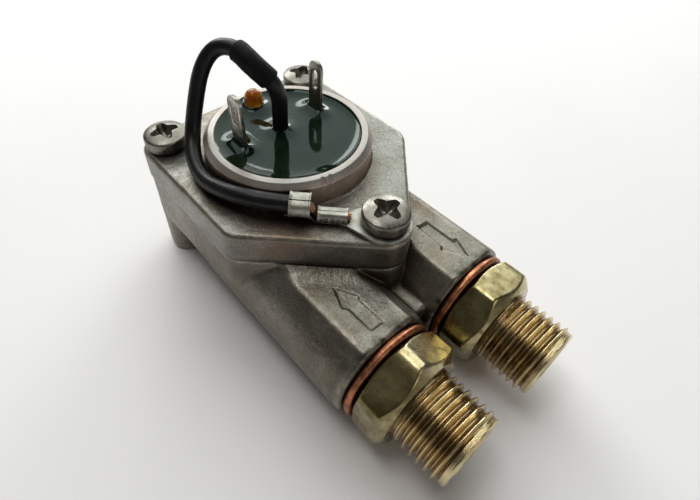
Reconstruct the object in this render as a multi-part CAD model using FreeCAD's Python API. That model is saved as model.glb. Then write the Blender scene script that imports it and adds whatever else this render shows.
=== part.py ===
"""Flow meter of a coffee machine: a turbine in a plated brass casting, read by a potted magnetic sensor.

The origin lies on the turbine axis in the plane the meter stands on. +Z is up along that axis,
the two hose fittings point along -Y, and the inlet is on the -X side. All sizes are millimetres.
"""
import FreeCAD
import Part
import math
import os
from FreeCAD import Vector

# Pipe ports: two parallel arms with G 1/4 fittings
PORT_SPACING = 20.5
PORT_HEIGHT = 9.9
ARM_RADIUS = 9.8
ARM_END = -37.1
ARM_PAD_WIDTH = 9.5
ARM_PAD_HEIGHT = 9.1
ARM_PAD_ROUND = 1.0
RAMP_LENGTH = 3.8
RAMP_HEIGHT = 1.0
ARM_END_CHAMFER = 0.4
WEB_HEIGHT = 7.8
WEB_END = -35.3
PASSAGE_RADIUS = 3.5
THREAD_RADIUS = 13.157 / 2
THREAD_CLEARANCE = 0.05
SOCKET_DEPTH = 10.0

# Body and cover share one five-cornered outline
ARM_STEP = 0.45
BACK = 20.4
NOSE_SCREW = 24.2
SCREW_EDGE = 4.45
SIDE_ROUND = 4.0
NOSE_ANGLE = 45.0
BODY_INSET = 0.25
WALL_BOTTOM = 9.2
WALL_ROUND = 1.0
PARTING = 20.0
BOWL_RADIUS = 17.5
BOWL_ROUND = 3.0
BOSS_ROUND = 0.6
FLANGE_THICKNESS = 1.0

# Turbine chamber and its seal
CHAMBER_RADIUS = 14.0
CHAMBER_FLOOR = 5.0
GROOVE_INNER = 15.0
GROOVE_OUTER = 17.2
GROOVE_DEPTH = 1.8

# Cover with the sensor cup
COVER_THICKNESS = 6.0
COVER_ROUND = 0.9
RING_RADIUS = 15.0
RING_BORE = 13.0
RING_HEIGHT = 4.9
RING_CHAMFER = 0.9
CUP_FLOOR_ABOVE_PARTING = 0.9
SPIGOT_DEPTH = 1.6
SPIGOT_CLEARANCE = 0.15

# Turbine wheel, magnets and bearings
WHEEL_RADIUS = 12.6
WHEEL_FLOOR_GAP = 1.3
WHEEL_ROOF_GAP = 2.2
HUB_RADIUS = 3.0
VANE_COUNT = 8
VANE_THICKNESS = 1.1
VANE_BOW = 2.2
DISC_THICKNESS = 2.6
MAGNET_COUNT = 4
MAGNET_RADIUS = 2.0
MAGNET_HEIGHT = 2.0
MAGNET_CIRCLE = 8.5
SPINDLE_RADIUS = 0.75
SPINDLE_RUNNING = 0.05
SPINDLE_END_PLAY = 0.05
JEWEL_RADIUS = 2.0
JEWEL_HEIGHT = 1.3
JEWEL_CUP = 0.8

# Inlet jet
JET_LENGTH = 5.0
JET_END = -12.5
JET_BORE = 1.0
JET_CONE_RADIUS = 2.4
JET_CONE_LENGTH = 2.0

# Fittings and their washers
WASHER_RADIUS = 9.3
WASHER_BORE = 6.7
WASHER_THICKNESS = 1.5
HEX_FLATS = 17.0
HEX_LENGTH = 5.0
HEX_CHAMFER = 1.1
INLET_HEX_TURN = 90.0
OUTLET_HEX_TURN = 109.0
SPIGOT_LENGTH = 8.5
THREAD_LENGTH = 9.9
THREAD_TIP_CHAMFER = 0.9
FITTING_BORE = 4.0

# M4 cover screws and spring washers
SCREW_RADIUS = 2.0
SCREW_TAP_CLEARANCE = 0.05
SCREW_HOLE_CLEARANCE = 0.25
SCREW_HEAD_RADIUS = 3.9
SCREW_HEAD_RIM = 1.3
SCREW_HEAD_HEIGHT = 2.4
SCREW_GRIP = 7.0
SCREW_HOLE_DEPTH = 9.0
SPRING_WASHER_RADIUS = 3.7
SPRING_WASHER_BORE = 2.1
SPRING_WASHER_THICKNESS = 0.9
SPRING_WASHER_SPLIT = 0.5

# Sensor board, its parts and the resin that covers them
BOARD_RADIUS = 12.0
BOARD_THICKNESS = 1.6
BOARD_ABOVE_FLOOR = 3.2
RESIN_BELOW_RING = 0.9
TAG_SPREAD = 8.45
TAG_Y = 2.5
TAG_WIDTH = 3.2
TAG_THICKNESS = 0.8
TAG_PIN_WIDTH = 1.2
TAG_PIN_LENGTH = 1.0
TAG_HEIGHT = 10.0
TAG_SHOULDER = 2.0
TAG_SLOT_WIDTH = 1.4
TAG_SLOT_LENGTH = 2.3
TAG_SLOT_TOP = 1.7
LED_Y = 10.4
LED_RADIUS = 1.5
LED_FLANGE_RADIUS = 1.75
LED_FLANGE_HEIGHT = 0.8
LED_HEIGHT = 4.6
LED_SUNK = 0.8
LED_LEAD = 0.5
LED_LEAD_SPACING = 1.27
LED_LEAD_TAIL = 0.8
HALL_WIDTH = 4.1
HALL_DEPTH = 3.0
HALL_THICKNESS = 1.5
HALL_LEAD = 0.4
HALL_LEAD_SPACING = 1.27
HALL_LEAD_REACH = 1.0
RESISTOR_RADIUS = 1.1
RESISTOR_LENGTH = 6.2
RESISTOR_Y = -6.0
RESISTOR_LEAD = 0.5
RESISTOR_LEAD_REACH = 1.2
RESISTOR_LIFT = 0.3

# Earth wire with its ring terminal
WIRE_RADIUS = 1.4
STRAND_RADIUS = 0.9
SLEEVE_RADIUS = 1.85
SLEEVE_START = 13.9
SLEEVE_END = 21.3
LUG_THICKNESS = 0.8
LUG_RING_RADIUS = 4.4
LUG_HOLE_RADIUS = 2.2
LUG_DIRECTION = 133.5
LUG_NECK_WIDTH = 3.0
LUG_BARREL_START = 6.0
LUG_BARREL_END = 10.7
LUG_BARREL_RADIUS = 1.55
LUG_GRIP_START = 11.8
LUG_GRIP_END = 15.0
LUG_GRIP_RADIUS = 1.85
LUG_FLOOR_WIDTH = 2.0
STRAND_START = 6.6
WIRE_END = 12.0
WIRE_LEAD = 16.3

# Levels and places that follow from the sizes above
PORT_X = PORT_SPACING / 2
HALF_WIDTH = PORT_X + ARM_RADIUS + ARM_STEP
COVER_TOP = PARTING + COVER_THICKNESS
RING_TOP = COVER_TOP + RING_HEIGHT
CUP_FLOOR = PARTING + CUP_FLOOR_ABOVE_PARTING
CHAMBER_ROOF = PARTING - SPIGOT_DEPTH
RESIN_TOP = RING_TOP - RESIN_BELOW_RING
BOARD_BOTTOM = CUP_FLOOR + BOARD_ABOVE_FLOOR
BOARD_TOP = BOARD_BOTTOM + BOARD_THICKNESS
NOSE_SIN = math.sin(math.radians(NOSE_ANGLE))
NOSE_COS = math.cos(math.radians(NOSE_ANGLE))
NOSE_OFFSET = NOSE_SCREW * NOSE_COS + SCREW_EDGE
REAR_SCREW_X = HALF_WIDTH - SCREW_EDGE
REAR_SCREW_Y = BACK - SCREW_EDGE
SCREW_PLACES = [(-REAR_SCREW_X, REAR_SCREW_Y), (REAR_SCREW_X, REAR_SCREW_Y), (0.0, -NOSE_SCREW)]
WASHER_END = ARM_END - WASHER_THICKNESS
HEX_END = WASHER_END - HEX_LENGTH
THREAD_END = HEX_END - THREAD_LENGTH
LUG_AXIS = LUG_THICKNESS + WIRE_RADIUS
LUG_ANGLE = math.radians(LUG_DIRECTION)


def lug_point(distance):
    """A point of the lug's axis, measured from the nose screw."""
    return Vector(
        distance * math.cos(LUG_ANGLE),
        -NOSE_SCREW + distance * math.sin(LUG_ANGLE),
        COVER_TOP + LUG_AXIS,
    )


# Route of the earth wire: out of the resin, over in a tight arch, down and round the ring to the lug
WIRE_START = Vector(-0.4, 1.8, BOARD_TOP)
WIRE_ROUTE = [
    WIRE_START,
    Vector(-0.4, 1.8, 31.8),
    Vector(0.0, 2.3, 38.2),
    Vector(-2.2, 5.1, 41.1),
    Vector(-3.4, 8.5, 44.1),
    Vector(-6.0, 11.2, 43.9),
    Vector(-8.6, 12.2, 40.5),
    Vector(-11.0, 11.8, 34.9),
    Vector(-13.1, 10.8, 30.0),
    Vector(-15.6, 7.0, 27.9),
    Vector(-17.0, 1.4, 27.5),
    Vector(-16.2, -4.2, 28.6),
    Vector(-14.3, -8.7, 29.3),
    lug_point(WIRE_LEAD),
    lug_point(WIRE_END),
]
ARC_SHARE = 0.45


def cylinder(radius, low, high, x=0.0, y=0.0):
    """An upright cylinder between two levels."""
    return Part.makeCylinder(radius, high - low, Vector(x, y, low))


def tube(outer, inner, low, high, x=0.0, y=0.0):
    """An upright tube between two levels."""
    return cylinder(outer, low, high, x, y).cut(cylinder(inner, low, high, x, y))


def rod(radius, start, end, x, z):
    """A cylinder along -Y from start to end."""
    return Part.makeCylinder(radius, start - end, Vector(x, start, z), Vector(0, -1, 0))


def box(x0, x1, y0, y1, z0, z1):
    """A box between two corners."""
    return Part.makeBox(x1 - x0, y1 - y0, z1 - z0, Vector(x0, y0, z0))


def corner_arc(before, corner, after, radius):
    """Start, middle and end of the arc that rounds a corner."""
    back = (before - corner).normalize()
    ahead = (after - corner).normalize()
    half = back.getAngle(ahead) / 2
    reach = radius / math.tan(half)
    middle = corner + (back + ahead).normalize() * (radius / math.sin(half) - radius)
    return corner + back * reach, middle, corner + ahead * reach


def rounded_outline(corners, radii):
    """A closed wire through the corners, each rounded by its own radius."""
    count = len(corners)
    arcs = [
        corner_arc(corners[i - 1], corners[i], corners[(i + 1) % count], radii[i])
        for i in range(count)
    ]
    edges = []
    for i in range(count):
        start, middle, end = arcs[i]
        edges.append(Part.Arc(start, middle, end).toShape())
        edges.append(Part.LineSegment(end, arcs[(i + 1) % count][0]).toShape())
    return Part.Wire(edges)


def case_outline(inset):
    """The five-cornered outline of body and cover, drawn in by inset."""
    side = HALF_WIDTH - inset
    back = BACK - inset
    nose = (NOSE_OFFSET - inset) / NOSE_COS
    shoulder = nose - side * NOSE_SIN / NOSE_COS
    corners = [
        Vector(-side, back, 0),
        Vector(side, back, 0),
        Vector(side, -shoulder, 0),
        Vector(0, -nose, 0),
        Vector(-side, -shoulder, 0),
    ]
    screw_round = SCREW_EDGE - inset
    return rounded_outline(corners, [screw_round, screw_round, SIDE_ROUND, screw_round, SIDE_ROUND])


def case_prism(inset, low, high):
    """The case outline extruded between two levels."""
    face = Part.Face(case_outline(inset))
    face.translate(Vector(0, 0, low))
    return face.extrude(Vector(0, 0, high - low))


def level_edges(solid, level):
    """The edges of a solid that lie in one level plane."""
    return [
        edge for edge in solid.Edges
        if abs(edge.BoundBox.ZMin - level) < 1e-4 and abs(edge.BoundBox.ZMax - level) < 1e-4
    ]


def turned(points, axis_x=0.0, axis_y=0.0):
    """A solid of revolution about a vertical axis from (radius, level) points."""
    profile = [Vector(r, 0, z) for r, z in points]
    face = Part.Face(Part.makePolygon(profile + [profile[0]]))
    solid = face.revolve(Vector(0, 0, 0), Vector(0, 0, 1), 360)
    solid.translate(Vector(axis_x, axis_y, 0))
    return solid


def arm(x):
    """One pipe arm: a round boss with a flat pad on top, its shoulders tangent to the round."""
    chord = math.sqrt(max(ARM_RADIUS ** 2 - ARM_PAD_HEIGHT ** 2, 0.0))
    pad = max(ARM_PAD_WIDTH / 2, chord + ARM_PAD_ROUND)
    tangent = math.atan2(ARM_PAD_HEIGHT, pad) - math.acos(ARM_RADIUS / math.hypot(pad, ARM_PAD_HEIGHT))
    side = ARM_RADIUS * math.cos(tangent)
    rise = ARM_RADIUS * math.sin(tangent)

    def place(u, w):
        return Vector(x + u, ARM_END, PORT_HEIGHT + w)

    right = corner_arc(place(side, rise), place(pad, ARM_PAD_HEIGHT), place(-pad, ARM_PAD_HEIGHT), ARM_PAD_ROUND)
    left = corner_arc(place(pad, ARM_PAD_HEIGHT), place(-pad, ARM_PAD_HEIGHT), place(-side, rise), ARM_PAD_ROUND)
    edges = [
        Part.Arc(place(side, rise), place(0, -ARM_RADIUS), place(-side, rise)).toShape(),
        Part.LineSegment(place(-side, rise), left[2]).toShape(),
        Part.Arc(left[2], left[1], left[0]).toShape(),
        Part.LineSegment(left[0], right[2]).toShape(),
        Part.Arc(right[2], right[1], right[0]).toShape(),
        Part.LineSegment(right[0], place(side, rise)).toShape(),
    ]
    face = Part.Face(Part.Wire(edges))
    solid = face.extrude(Vector(0, -ARM_END, 0))
    end_edges = [edge for edge in solid.Edges if abs(edge.BoundBox.YMax - ARM_END) < 1e-4]
    return solid.makeChamfer(ARM_END_CHAMFER, end_edges)


def pad_ramp(x):
    """The hollow rise of an arm's pad to the nose face beside it."""
    side = math.copysign(1.0, x)
    outward = Vector(side * NOSE_SIN, -NOSE_COS, 0)
    along = Vector(side * NOSE_COS, NOSE_SIN, 0) * (2 * HALF_WIDTH)
    foot = outward * (NOSE_OFFSET - BODY_INSET) + Vector(0, 0, PORT_HEIGHT + ARM_PAD_HEIGHT)
    hollow = (RAMP_LENGTH ** 2 + RAMP_HEIGHT ** 2) / (2 * RAMP_HEIGHT)
    halfway = RAMP_LENGTH / 2

    def place(out, up):
        return foot - along + outward * out + Vector(0, 0, up)

    top = place(0, RAMP_HEIGHT)
    middle = place(halfway, hollow - math.sqrt(hollow ** 2 - halfway ** 2))
    toe = place(RAMP_LENGTH, 0)
    below = place(RAMP_LENGTH, -ARM_PAD_ROUND)
    back = place(0, -ARM_PAD_ROUND)
    edges = [
        Part.Arc(top, middle, toe).toShape(),
        Part.LineSegment(toe, below).toShape(),
        Part.LineSegment(below, back).toShape(),
        Part.LineSegment(back, top).toShape(),
    ]
    prism = Part.Face(Part.Wire(edges)).extrude(along * 2)
    half = (ARM_PAD_WIDTH - ARM_PAD_ROUND) / 2
    return prism.common(box(x - half, x + half, ARM_END, 0.0, PORT_HEIGHT, COVER_TOP))


def port_cut(x):
    """The threaded socket and the water passage inside one arm."""
    socket = rod(THREAD_RADIUS + THREAD_CLEARANCE, ARM_END + SOCKET_DEPTH, ARM_END, x, PORT_HEIGHT)
    passage = rod(PASSAGE_RADIUS, 0.0, ARM_END, x, PORT_HEIGHT)
    return socket.fuse(passage)


def meter_body():
    """The casting: case wall, round bowl, screw bosses, two arms and the web between them."""
    wall = case_prism(BODY_INSET, WALL_BOTTOM, PARTING)
    wall = wall.makeFillet(WALL_ROUND, level_edges(wall, WALL_BOTTOM))
    bowl = cylinder(BOWL_RADIUS, 0.0, PARTING - FLANGE_THICKNESS)
    bowl = bowl.makeFillet(BOWL_ROUND, level_edges(bowl, 0.0))
    solids = [bowl]
    for x, y in SCREW_PLACES:
        boss = cylinder(SCREW_EDGE - BODY_INSET, 0.0, PARTING - FLANGE_THICKNESS, x, y)
        solids.append(boss.makeFillet(BOSS_ROUND, level_edges(boss, 0.0)))
    half_web = WEB_HEIGHT / 2
    solids.append(box(-PORT_X, PORT_X, WEB_END, -BOWL_RADIUS, PORT_HEIGHT - half_web, PORT_HEIGHT + half_web))
    under_cover = case_prism(0.0, PARTING, COVER_TOP)
    for x in (-PORT_X, PORT_X):
        solids += [arm(x).cut(under_cover), pad_ramp(x).cut(under_cover)]
    body = wall.multiFuse(solids).removeSplitter()
    cuts = [cylinder(CHAMBER_RADIUS, CHAMBER_FLOOR, PARTING)]
    cuts.append(tube(GROOVE_OUTER, GROOVE_INNER, PARTING - GROOVE_DEPTH, PARTING))
    cuts.append(cylinder(JEWEL_RADIUS, CHAMBER_FLOOR - JEWEL_HEIGHT, CHAMBER_FLOOR))
    cuts += [port_cut(-PORT_X), port_cut(PORT_X)]
    for x, y in SCREW_PLACES:
        cuts.append(cylinder(SCREW_RADIUS + SCREW_TAP_CLEARANCE, PARTING - SCREW_HOLE_DEPTH, PARTING, x, y))
    for cut in cuts:
        body = body.cut(cut)
    return body


def sensor_cover():
    """The cover: plate, turned ring with the sensor cup, and a spigot that centres in the chamber."""
    plate = case_prism(0.0, PARTING, COVER_TOP)
    plate = plate.makeFillet(COVER_ROUND, level_edges(plate, COVER_TOP))
    ring = turned([
        (0, PARTING),
        (RING_RADIUS, PARTING),
        (RING_RADIUS, RING_TOP - RING_CHAMFER),
        (RING_RADIUS - RING_CHAMFER, RING_TOP),
        (0, RING_TOP),
    ])
    spigot = cylinder(CHAMBER_RADIUS - SPIGOT_CLEARANCE, CHAMBER_ROOF, PARTING)
    cover = plate.multiFuse([ring, spigot]).removeSplitter()
    cover = cover.cut(cylinder(RING_BORE, CUP_FLOOR, RING_TOP))
    cover = cover.cut(cylinder(JEWEL_RADIUS, CHAMBER_ROOF, CHAMBER_ROOF + JEWEL_HEIGHT))
    for x, y in SCREW_PLACES:
        cover = cover.cut(cylinder(SCREW_RADIUS + SCREW_HOLE_CLEARANCE, PARTING, COVER_TOP, x, y))
    return cover


def chamber_seal():
    """The O-ring, resting on its groove's floor with the cover's face on top."""
    middle = (GROOVE_INNER + GROOVE_OUTER) / 2
    section = GROOVE_DEPTH / 2
    return Part.makeTorus(middle, section, Vector(0, 0, PARTING - section))


def vane(low, high):
    """One bowed vane from the hub to the rim."""
    inner = HUB_RADIUS - VANE_THICKNESS
    middle = (inner + WHEEL_RADIUS) / 2
    half = VANE_THICKNESS / 2
    front = Part.Arc(Vector(inner, half, low), Vector(middle, half + VANE_BOW, low), Vector(WHEEL_RADIUS, half, low))
    back = Part.Arc(Vector(inner, -half, low), Vector(middle, VANE_BOW - half, low), Vector(WHEEL_RADIUS, -half, low))
    edges = [
        front.toShape(),
        Part.LineSegment(Vector(WHEEL_RADIUS, half, low), Vector(WHEEL_RADIUS, -half, low)).toShape(),
        back.toShape(),
        Part.LineSegment(Vector(inner, -half, low), Vector(inner, half, low)).toShape(),
    ]
    return Part.Face(Part.Wire(Part.__sortEdges__(edges))).extrude(Vector(0, 0, high - low))


def magnet_places():
    """Centres of the magnets round the wheel."""
    steps = [2 * math.pi * i / MAGNET_COUNT for i in range(MAGNET_COUNT)]
    return [(MAGNET_CIRCLE * math.cos(a), MAGNET_CIRCLE * math.sin(a)) for a in steps]


WHEEL_LOW = CHAMBER_FLOOR + WHEEL_FLOOR_GAP
WHEEL_HIGH = CHAMBER_ROOF - WHEEL_ROOF_GAP
DISC_LOW = WHEEL_HIGH - DISC_THICKNESS


def impeller_wheel():
    """The turbine wheel: hub, magnet disc and bowed vanes."""
    wheel = cylinder(HUB_RADIUS, WHEEL_LOW, WHEEL_HIGH)
    parts = [cylinder(WHEEL_RADIUS, DISC_LOW, WHEEL_HIGH)]
    for i in range(VANE_COUNT):
        blade = vane(WHEEL_LOW, DISC_LOW)
        blade.rotate(Vector(0, 0, 0), Vector(0, 0, 1), 360.0 * i / VANE_COUNT)
        parts.append(blade)
    wheel = wheel.multiFuse(parts).removeSplitter()
    wheel = wheel.cut(cylinder(SPINDLE_RADIUS, WHEEL_LOW, WHEEL_HIGH))
    for x, y in magnet_places():
        wheel = wheel.cut(cylinder(MAGNET_RADIUS, WHEEL_HIGH - MAGNET_HEIGHT, WHEEL_HIGH, x, y))
    return wheel


def impeller_magnets():
    """The magnets, flush in the wheel's disc."""
    return Part.makeCompound([
        cylinder(MAGNET_RADIUS, WHEEL_HIGH - MAGNET_HEIGHT, WHEEL_HIGH, x, y) for x, y in magnet_places()
    ])


def impeller_spindle():
    """The spindle, running in the two jewels with a little end play."""
    low = CHAMBER_FLOOR - JEWEL_CUP + SPINDLE_END_PLAY
    high = CHAMBER_ROOF + JEWEL_CUP - SPINDLE_END_PLAY
    return cylinder(SPINDLE_RADIUS, low, high)


def lower_jewel():
    """The bearing in the chamber floor."""
    jewel = cylinder(JEWEL_RADIUS, CHAMBER_FLOOR - JEWEL_HEIGHT, CHAMBER_FLOOR)
    return jewel.cut(cylinder(SPINDLE_RADIUS + SPINDLE_RUNNING, CHAMBER_FLOOR - JEWEL_CUP, CHAMBER_FLOOR))


def upper_jewel():
    """The bearing in the cover."""
    jewel = cylinder(JEWEL_RADIUS, CHAMBER_ROOF, CHAMBER_ROOF + JEWEL_HEIGHT)
    return jewel.cut(cylinder(SPINDLE_RADIUS + SPINDLE_RUNNING, CHAMBER_ROOF, CHAMBER_ROOF + JEWEL_CUP))


def inlet_jet():
    """The nozzle that throws the water at the vanes, with a coned mouth."""
    jet = rod(PASSAGE_RADIUS, JET_END, JET_END - JET_LENGTH, -PORT_X, PORT_HEIGHT)
    bore = rod(JET_BORE, JET_END, JET_END - JET_LENGTH, -PORT_X, PORT_HEIGHT)
    mouth = Part.makeCone(
        JET_CONE_RADIUS, JET_BORE, JET_CONE_LENGTH, Vector(-PORT_X, JET_END - JET_LENGTH, PORT_HEIGHT), Vector(0, 1, 0)
    )
    return jet.cut(bore.fuse(mouth))


def fitting(x, turn):
    """A hexagon nipple: spigot in the arm, hexagon on the washer, outer hose thread."""
    corner = HEX_FLATS / math.sqrt(3)
    angles = [math.radians(turn + 60 * i) for i in range(7)]
    points = [Vector(x + corner * math.cos(a), WASHER_END, PORT_HEIGHT + corner * math.sin(a)) for a in angles]
    hexagon = Part.Face(Part.makePolygon(points)).extrude(Vector(0, -HEX_LENGTH, 0))
    face_radius = HEX_FLATS / 2
    cone = [
        (0, 0),
        (face_radius, 0),
        (face_radius + 2 * HEX_CHAMFER, HEX_CHAMFER),
        (face_radius + 2 * HEX_CHAMFER, HEX_LENGTH - HEX_CHAMFER),
        (face_radius, HEX_LENGTH),
        (0, HEX_LENGTH),
    ]
    chamfer = turned(cone)
    chamfer.rotate(Vector(0, 0, 0), Vector(1, 0, 0), 90)
    chamfer.translate(Vector(x, WASHER_END, PORT_HEIGHT))
    hexagon = hexagon.common(chamfer)
    spigot = rod(THREAD_RADIUS, WASHER_END + WASHER_THICKNESS + SPIGOT_LENGTH, WASHER_END, x, PORT_HEIGHT)
    shank = rod(THREAD_RADIUS, HEX_END, THREAD_END, x, PORT_HEIGHT)
    tip = [edge for edge in shank.Edges if abs(edge.BoundBox.YMax - THREAD_END) < 1e-4]
    shank = shank.makeChamfer(THREAD_TIP_CHAMFER, tip)
    nipple = hexagon.multiFuse([spigot, shank]).removeSplitter()
    return nipple.cut(rod(FITTING_BORE, ARM_END + SPIGOT_LENGTH, THREAD_END, x, PORT_HEIGHT))


def copper_washer(x):
    """A flat sealing washer between arm and hexagon."""
    washer = rod(WASHER_RADIUS, ARM_END, WASHER_END, x, PORT_HEIGHT)
    return washer.cut(rod(WASHER_BORE, ARM_END, WASHER_END, x, PORT_HEIGHT))


def seat_level(y):
    """The level under a spring washer: the cover, or the lug on the nose screw."""
    return COVER_TOP + (LUG_THICKNESS if y < 0 else 0.0)


def cover_screw(x, y):
    """A pan head screw standing on its spring washer."""
    seat = seat_level(y) + SPRING_WASHER_THICKNESS
    shank = cylinder(SCREW_RADIUS, PARTING - SCREW_GRIP, seat, x, y)
    rim = seat + SCREW_HEAD_RIM
    crown = SCREW_HEAD_HEIGHT - SCREW_HEAD_RIM
    dome_radius = (SCREW_HEAD_RADIUS ** 2 + crown ** 2) / (2 * crown)
    dome = Part.makeSphere(dome_radius, Vector(x, y, rim + crown - dome_radius))
    head = cylinder(SCREW_HEAD_RADIUS, seat, seat + SCREW_HEAD_HEIGHT, x, y).common(dome)
    return shank.fuse(head).removeSplitter()


def cover_screws():
    """The three cover screws."""
    return Part.makeCompound([cover_screw(x, y) for x, y in SCREW_PLACES])


def spring_washer(x, y):
    """A split spring washer, pressed flat."""
    low = seat_level(y)
    high = low + SPRING_WASHER_THICKNESS
    ring = tube(SPRING_WASHER_RADIUS, SPRING_WASHER_BORE, low, high, x, y)
    split = SPRING_WASHER_SPLIT / 2
    return ring.cut(box(x, x + SPRING_WASHER_RADIUS, y - split, y + split, low, high))


def lock_washers():
    """The three spring washers."""
    return Part.makeCompound([spring_washer(x, y) for x, y in SCREW_PLACES])


def terminal_tag(x):
    """A flat tag with a long eye, standing through the board."""
    half = TAG_WIDTH / 2
    top = RESIN_TOP + TAG_HEIGHT
    shoulder = RESIN_TOP - TAG_SHOULDER
    x0 = x - TAG_THICKNESS / 2
    x1 = x + TAG_THICKNESS / 2
    blade = box(x0, x1, TAG_Y - half, TAG_Y + half, shoulder, top - half)
    cap = Part.makeCylinder(half, TAG_THICKNESS, Vector(x0, TAG_Y, top - half), Vector(1, 0, 0))
    pin_half = TAG_PIN_WIDTH / 2
    pin = box(x0, x1, TAG_Y - pin_half, TAG_Y + pin_half, BOARD_BOTTOM - TAG_PIN_LENGTH, shoulder)
    tag = blade.multiFuse([cap, pin]).removeSplitter()
    slot_half = TAG_SLOT_WIDTH / 2
    slot_high = top - TAG_SLOT_TOP - slot_half
    slot_low = slot_high - TAG_SLOT_LENGTH
    tag = tag.cut(box(x0, x1, TAG_Y - slot_half, TAG_Y + slot_half, slot_low, slot_high))
    for level in (slot_low, slot_high):
        tag = tag.cut(Part.makeCylinder(slot_half, TAG_THICKNESS, Vector(x0, TAG_Y, level), Vector(1, 0, 0)))
    return tag


def indicator_led():
    """The lamp: flange, barrel and dome."""
    low = RESIN_TOP - LED_SUNK
    dome = low + LED_HEIGHT - LED_RADIUS
    flange = cylinder(LED_FLANGE_RADIUS, low, low + LED_FLANGE_HEIGHT, 0.0, LED_Y)
    barrel = cylinder(LED_RADIUS, low, dome, 0.0, LED_Y)
    return flange.multiFuse([barrel, Part.makeSphere(LED_RADIUS, Vector(0, LED_Y, dome))]).removeSplitter()


def led_leads():
    """The lamp's two legs, through the board."""
    half = LED_LEAD / 2
    low = BOARD_BOTTOM - LED_LEAD_TAIL
    high = RESIN_TOP - LED_SUNK
    return Part.makeCompound([
        box(x - half, x + half, LED_Y - half, LED_Y + half, low, high)
        for x in (-LED_LEAD_SPACING, LED_LEAD_SPACING)
    ])


def hall_sensor():
    """The magnetic sensor on the cup floor, above the magnets, its legs up to the board."""
    half = HALL_WIDTH / 2
    low = CUP_FLOOR
    y0 = -MAGNET_CIRCLE - HALL_DEPTH / 2
    y1 = y0 + HALL_DEPTH
    bend = y1 + HALL_LEAD_REACH
    chip = box(-half, half, y0, y1, low, low + HALL_THICKNESS)
    leg = HALL_LEAD / 2
    middle = low + HALL_THICKNESS / 2
    legs = []
    for x in (-HALL_LEAD_SPACING, 0.0, HALL_LEAD_SPACING):
        legs.append(box(x - leg, x + leg, y1, bend, middle - leg, middle + leg))
        legs.append(box(x - leg, x + leg, bend - HALL_LEAD, bend, middle - leg, BOARD_TOP))
    return chip.multiFuse(legs).removeSplitter()


def led_resistor():
    """The lamp's series resistor, lying just above the board with its legs bent down through it."""
    axis = BOARD_TOP + RESISTOR_LIFT + RESISTOR_RADIUS
    half = RESISTOR_LENGTH / 2
    leg = RESISTOR_LEAD / 2
    reach = half + RESISTOR_LEAD_REACH
    body = Part.makeCylinder(RESISTOR_RADIUS, RESISTOR_LENGTH, Vector(-half, RESISTOR_Y, axis), Vector(1, 0, 0))
    legs = []
    for side in (-1, 1):
        near, far = sorted((side * half, side * reach))
        legs.append(box(near, far, RESISTOR_Y - leg, RESISTOR_Y + leg, axis - leg, axis + leg))
        inner, outer = sorted((side * (reach - RESISTOR_LEAD), side * reach))
        legs.append(box(inner, outer, RESISTOR_Y - leg, RESISTOR_Y + leg, BOARD_BOTTOM, axis + leg))
    return body.multiFuse(legs).removeSplitter()


def circuit_board(through):
    """The round board, cut by the legs that pass through it."""
    board = cylinder(BOARD_RADIUS, BOARD_BOTTOM, BOARD_TOP)
    for piece in through:
        board = board.cut(piece)
    return board


def potting_resin(buried):
    """The resin that fills the cup round everything buried in it."""
    resin = cylinder(RING_BORE, CUP_FLOOR, RESIN_TOP)
    for piece in buried:
        resin = resin.cut(piece)
    return resin


def route_edges(points):
    """Straight runs joined by arcs as large as the runs allow, with the arcs' radii."""
    starts = []
    ends = []
    arcs = []
    radii = []
    for i in range(1, len(points) - 1):
        before = points[i - 1] - points[i]
        after = points[i + 1] - points[i]
        half = before.getAngle(after) / 2
        radius = ARC_SHARE * min(before.Length, after.Length) * math.tan(half)
        start, middle, end = corner_arc(points[i - 1], points[i], points[i + 1], radius)
        starts.append(start)
        ends.append(end)
        arcs.append(Part.Arc(start, middle, end).toShape())
        radii.append(radius)
    edges = [Part.LineSegment(points[0], starts[0]).toShape()]
    for i in range(len(arcs)):
        edges.append(arcs[i])
        following = starts[i + 1] if i + 1 < len(starts) else points[-1]
        edges.append(Part.LineSegment(ends[i], following).toShape())
    return edges, radii


def sweep(edges, radius):
    """A round bar along tangent edges."""
    start = edges[0].firstVertex().Point
    direction = edges[0].tangentAt(edges[0].FirstParameter)
    circle = Part.Wire(Part.makeCircle(radius, start, direction))
    return Part.Wire(edges).makePipeShell([circle], True, False)


def earth_wire(edges, radii):
    """The insulated wire from the board to the lug."""
    wire = sweep(edges, WIRE_RADIUS)
    length = sum(edge.Length for edge in edges)
    print("wire length", round(length, 2), "arc radii", [round(r, 1) for r in radii])
    print("wire volume", round(wire.Volume, 2), "section times length", round(math.pi * WIRE_RADIUS ** 2 * length, 2))
    return wire


def stretch(edges, start, end):
    """The part of a path between two distances along it."""
    part = []
    passed = 0.0
    for edge in edges:
        low = max(start - passed, 0.0)
        high = min(end - passed, edge.Length)
        if high > low:
            first = edge.getParameterByLength(low)
            last = edge.getParameterByLength(high)
            part.append(edge.Curve.toShape(first, last))
        passed += edge.Length
    return part


def wire_sleeve(edges, wire):
    """The shrink sleeve round the wire's arch."""
    return sweep(stretch(edges, SLEEVE_START, SLEEVE_END), SLEEVE_RADIUS).cut(wire)


def lug_tube(outer, inner, start, end):
    """A tube along the lug's axis."""
    direction = lug_point(1.0) - lug_point(0.0)
    length = end - start
    body = Part.makeCylinder(outer, length, lug_point(start), direction)
    return body.cut(Part.makeCylinder(inner, length, lug_point(start), direction))


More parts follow.
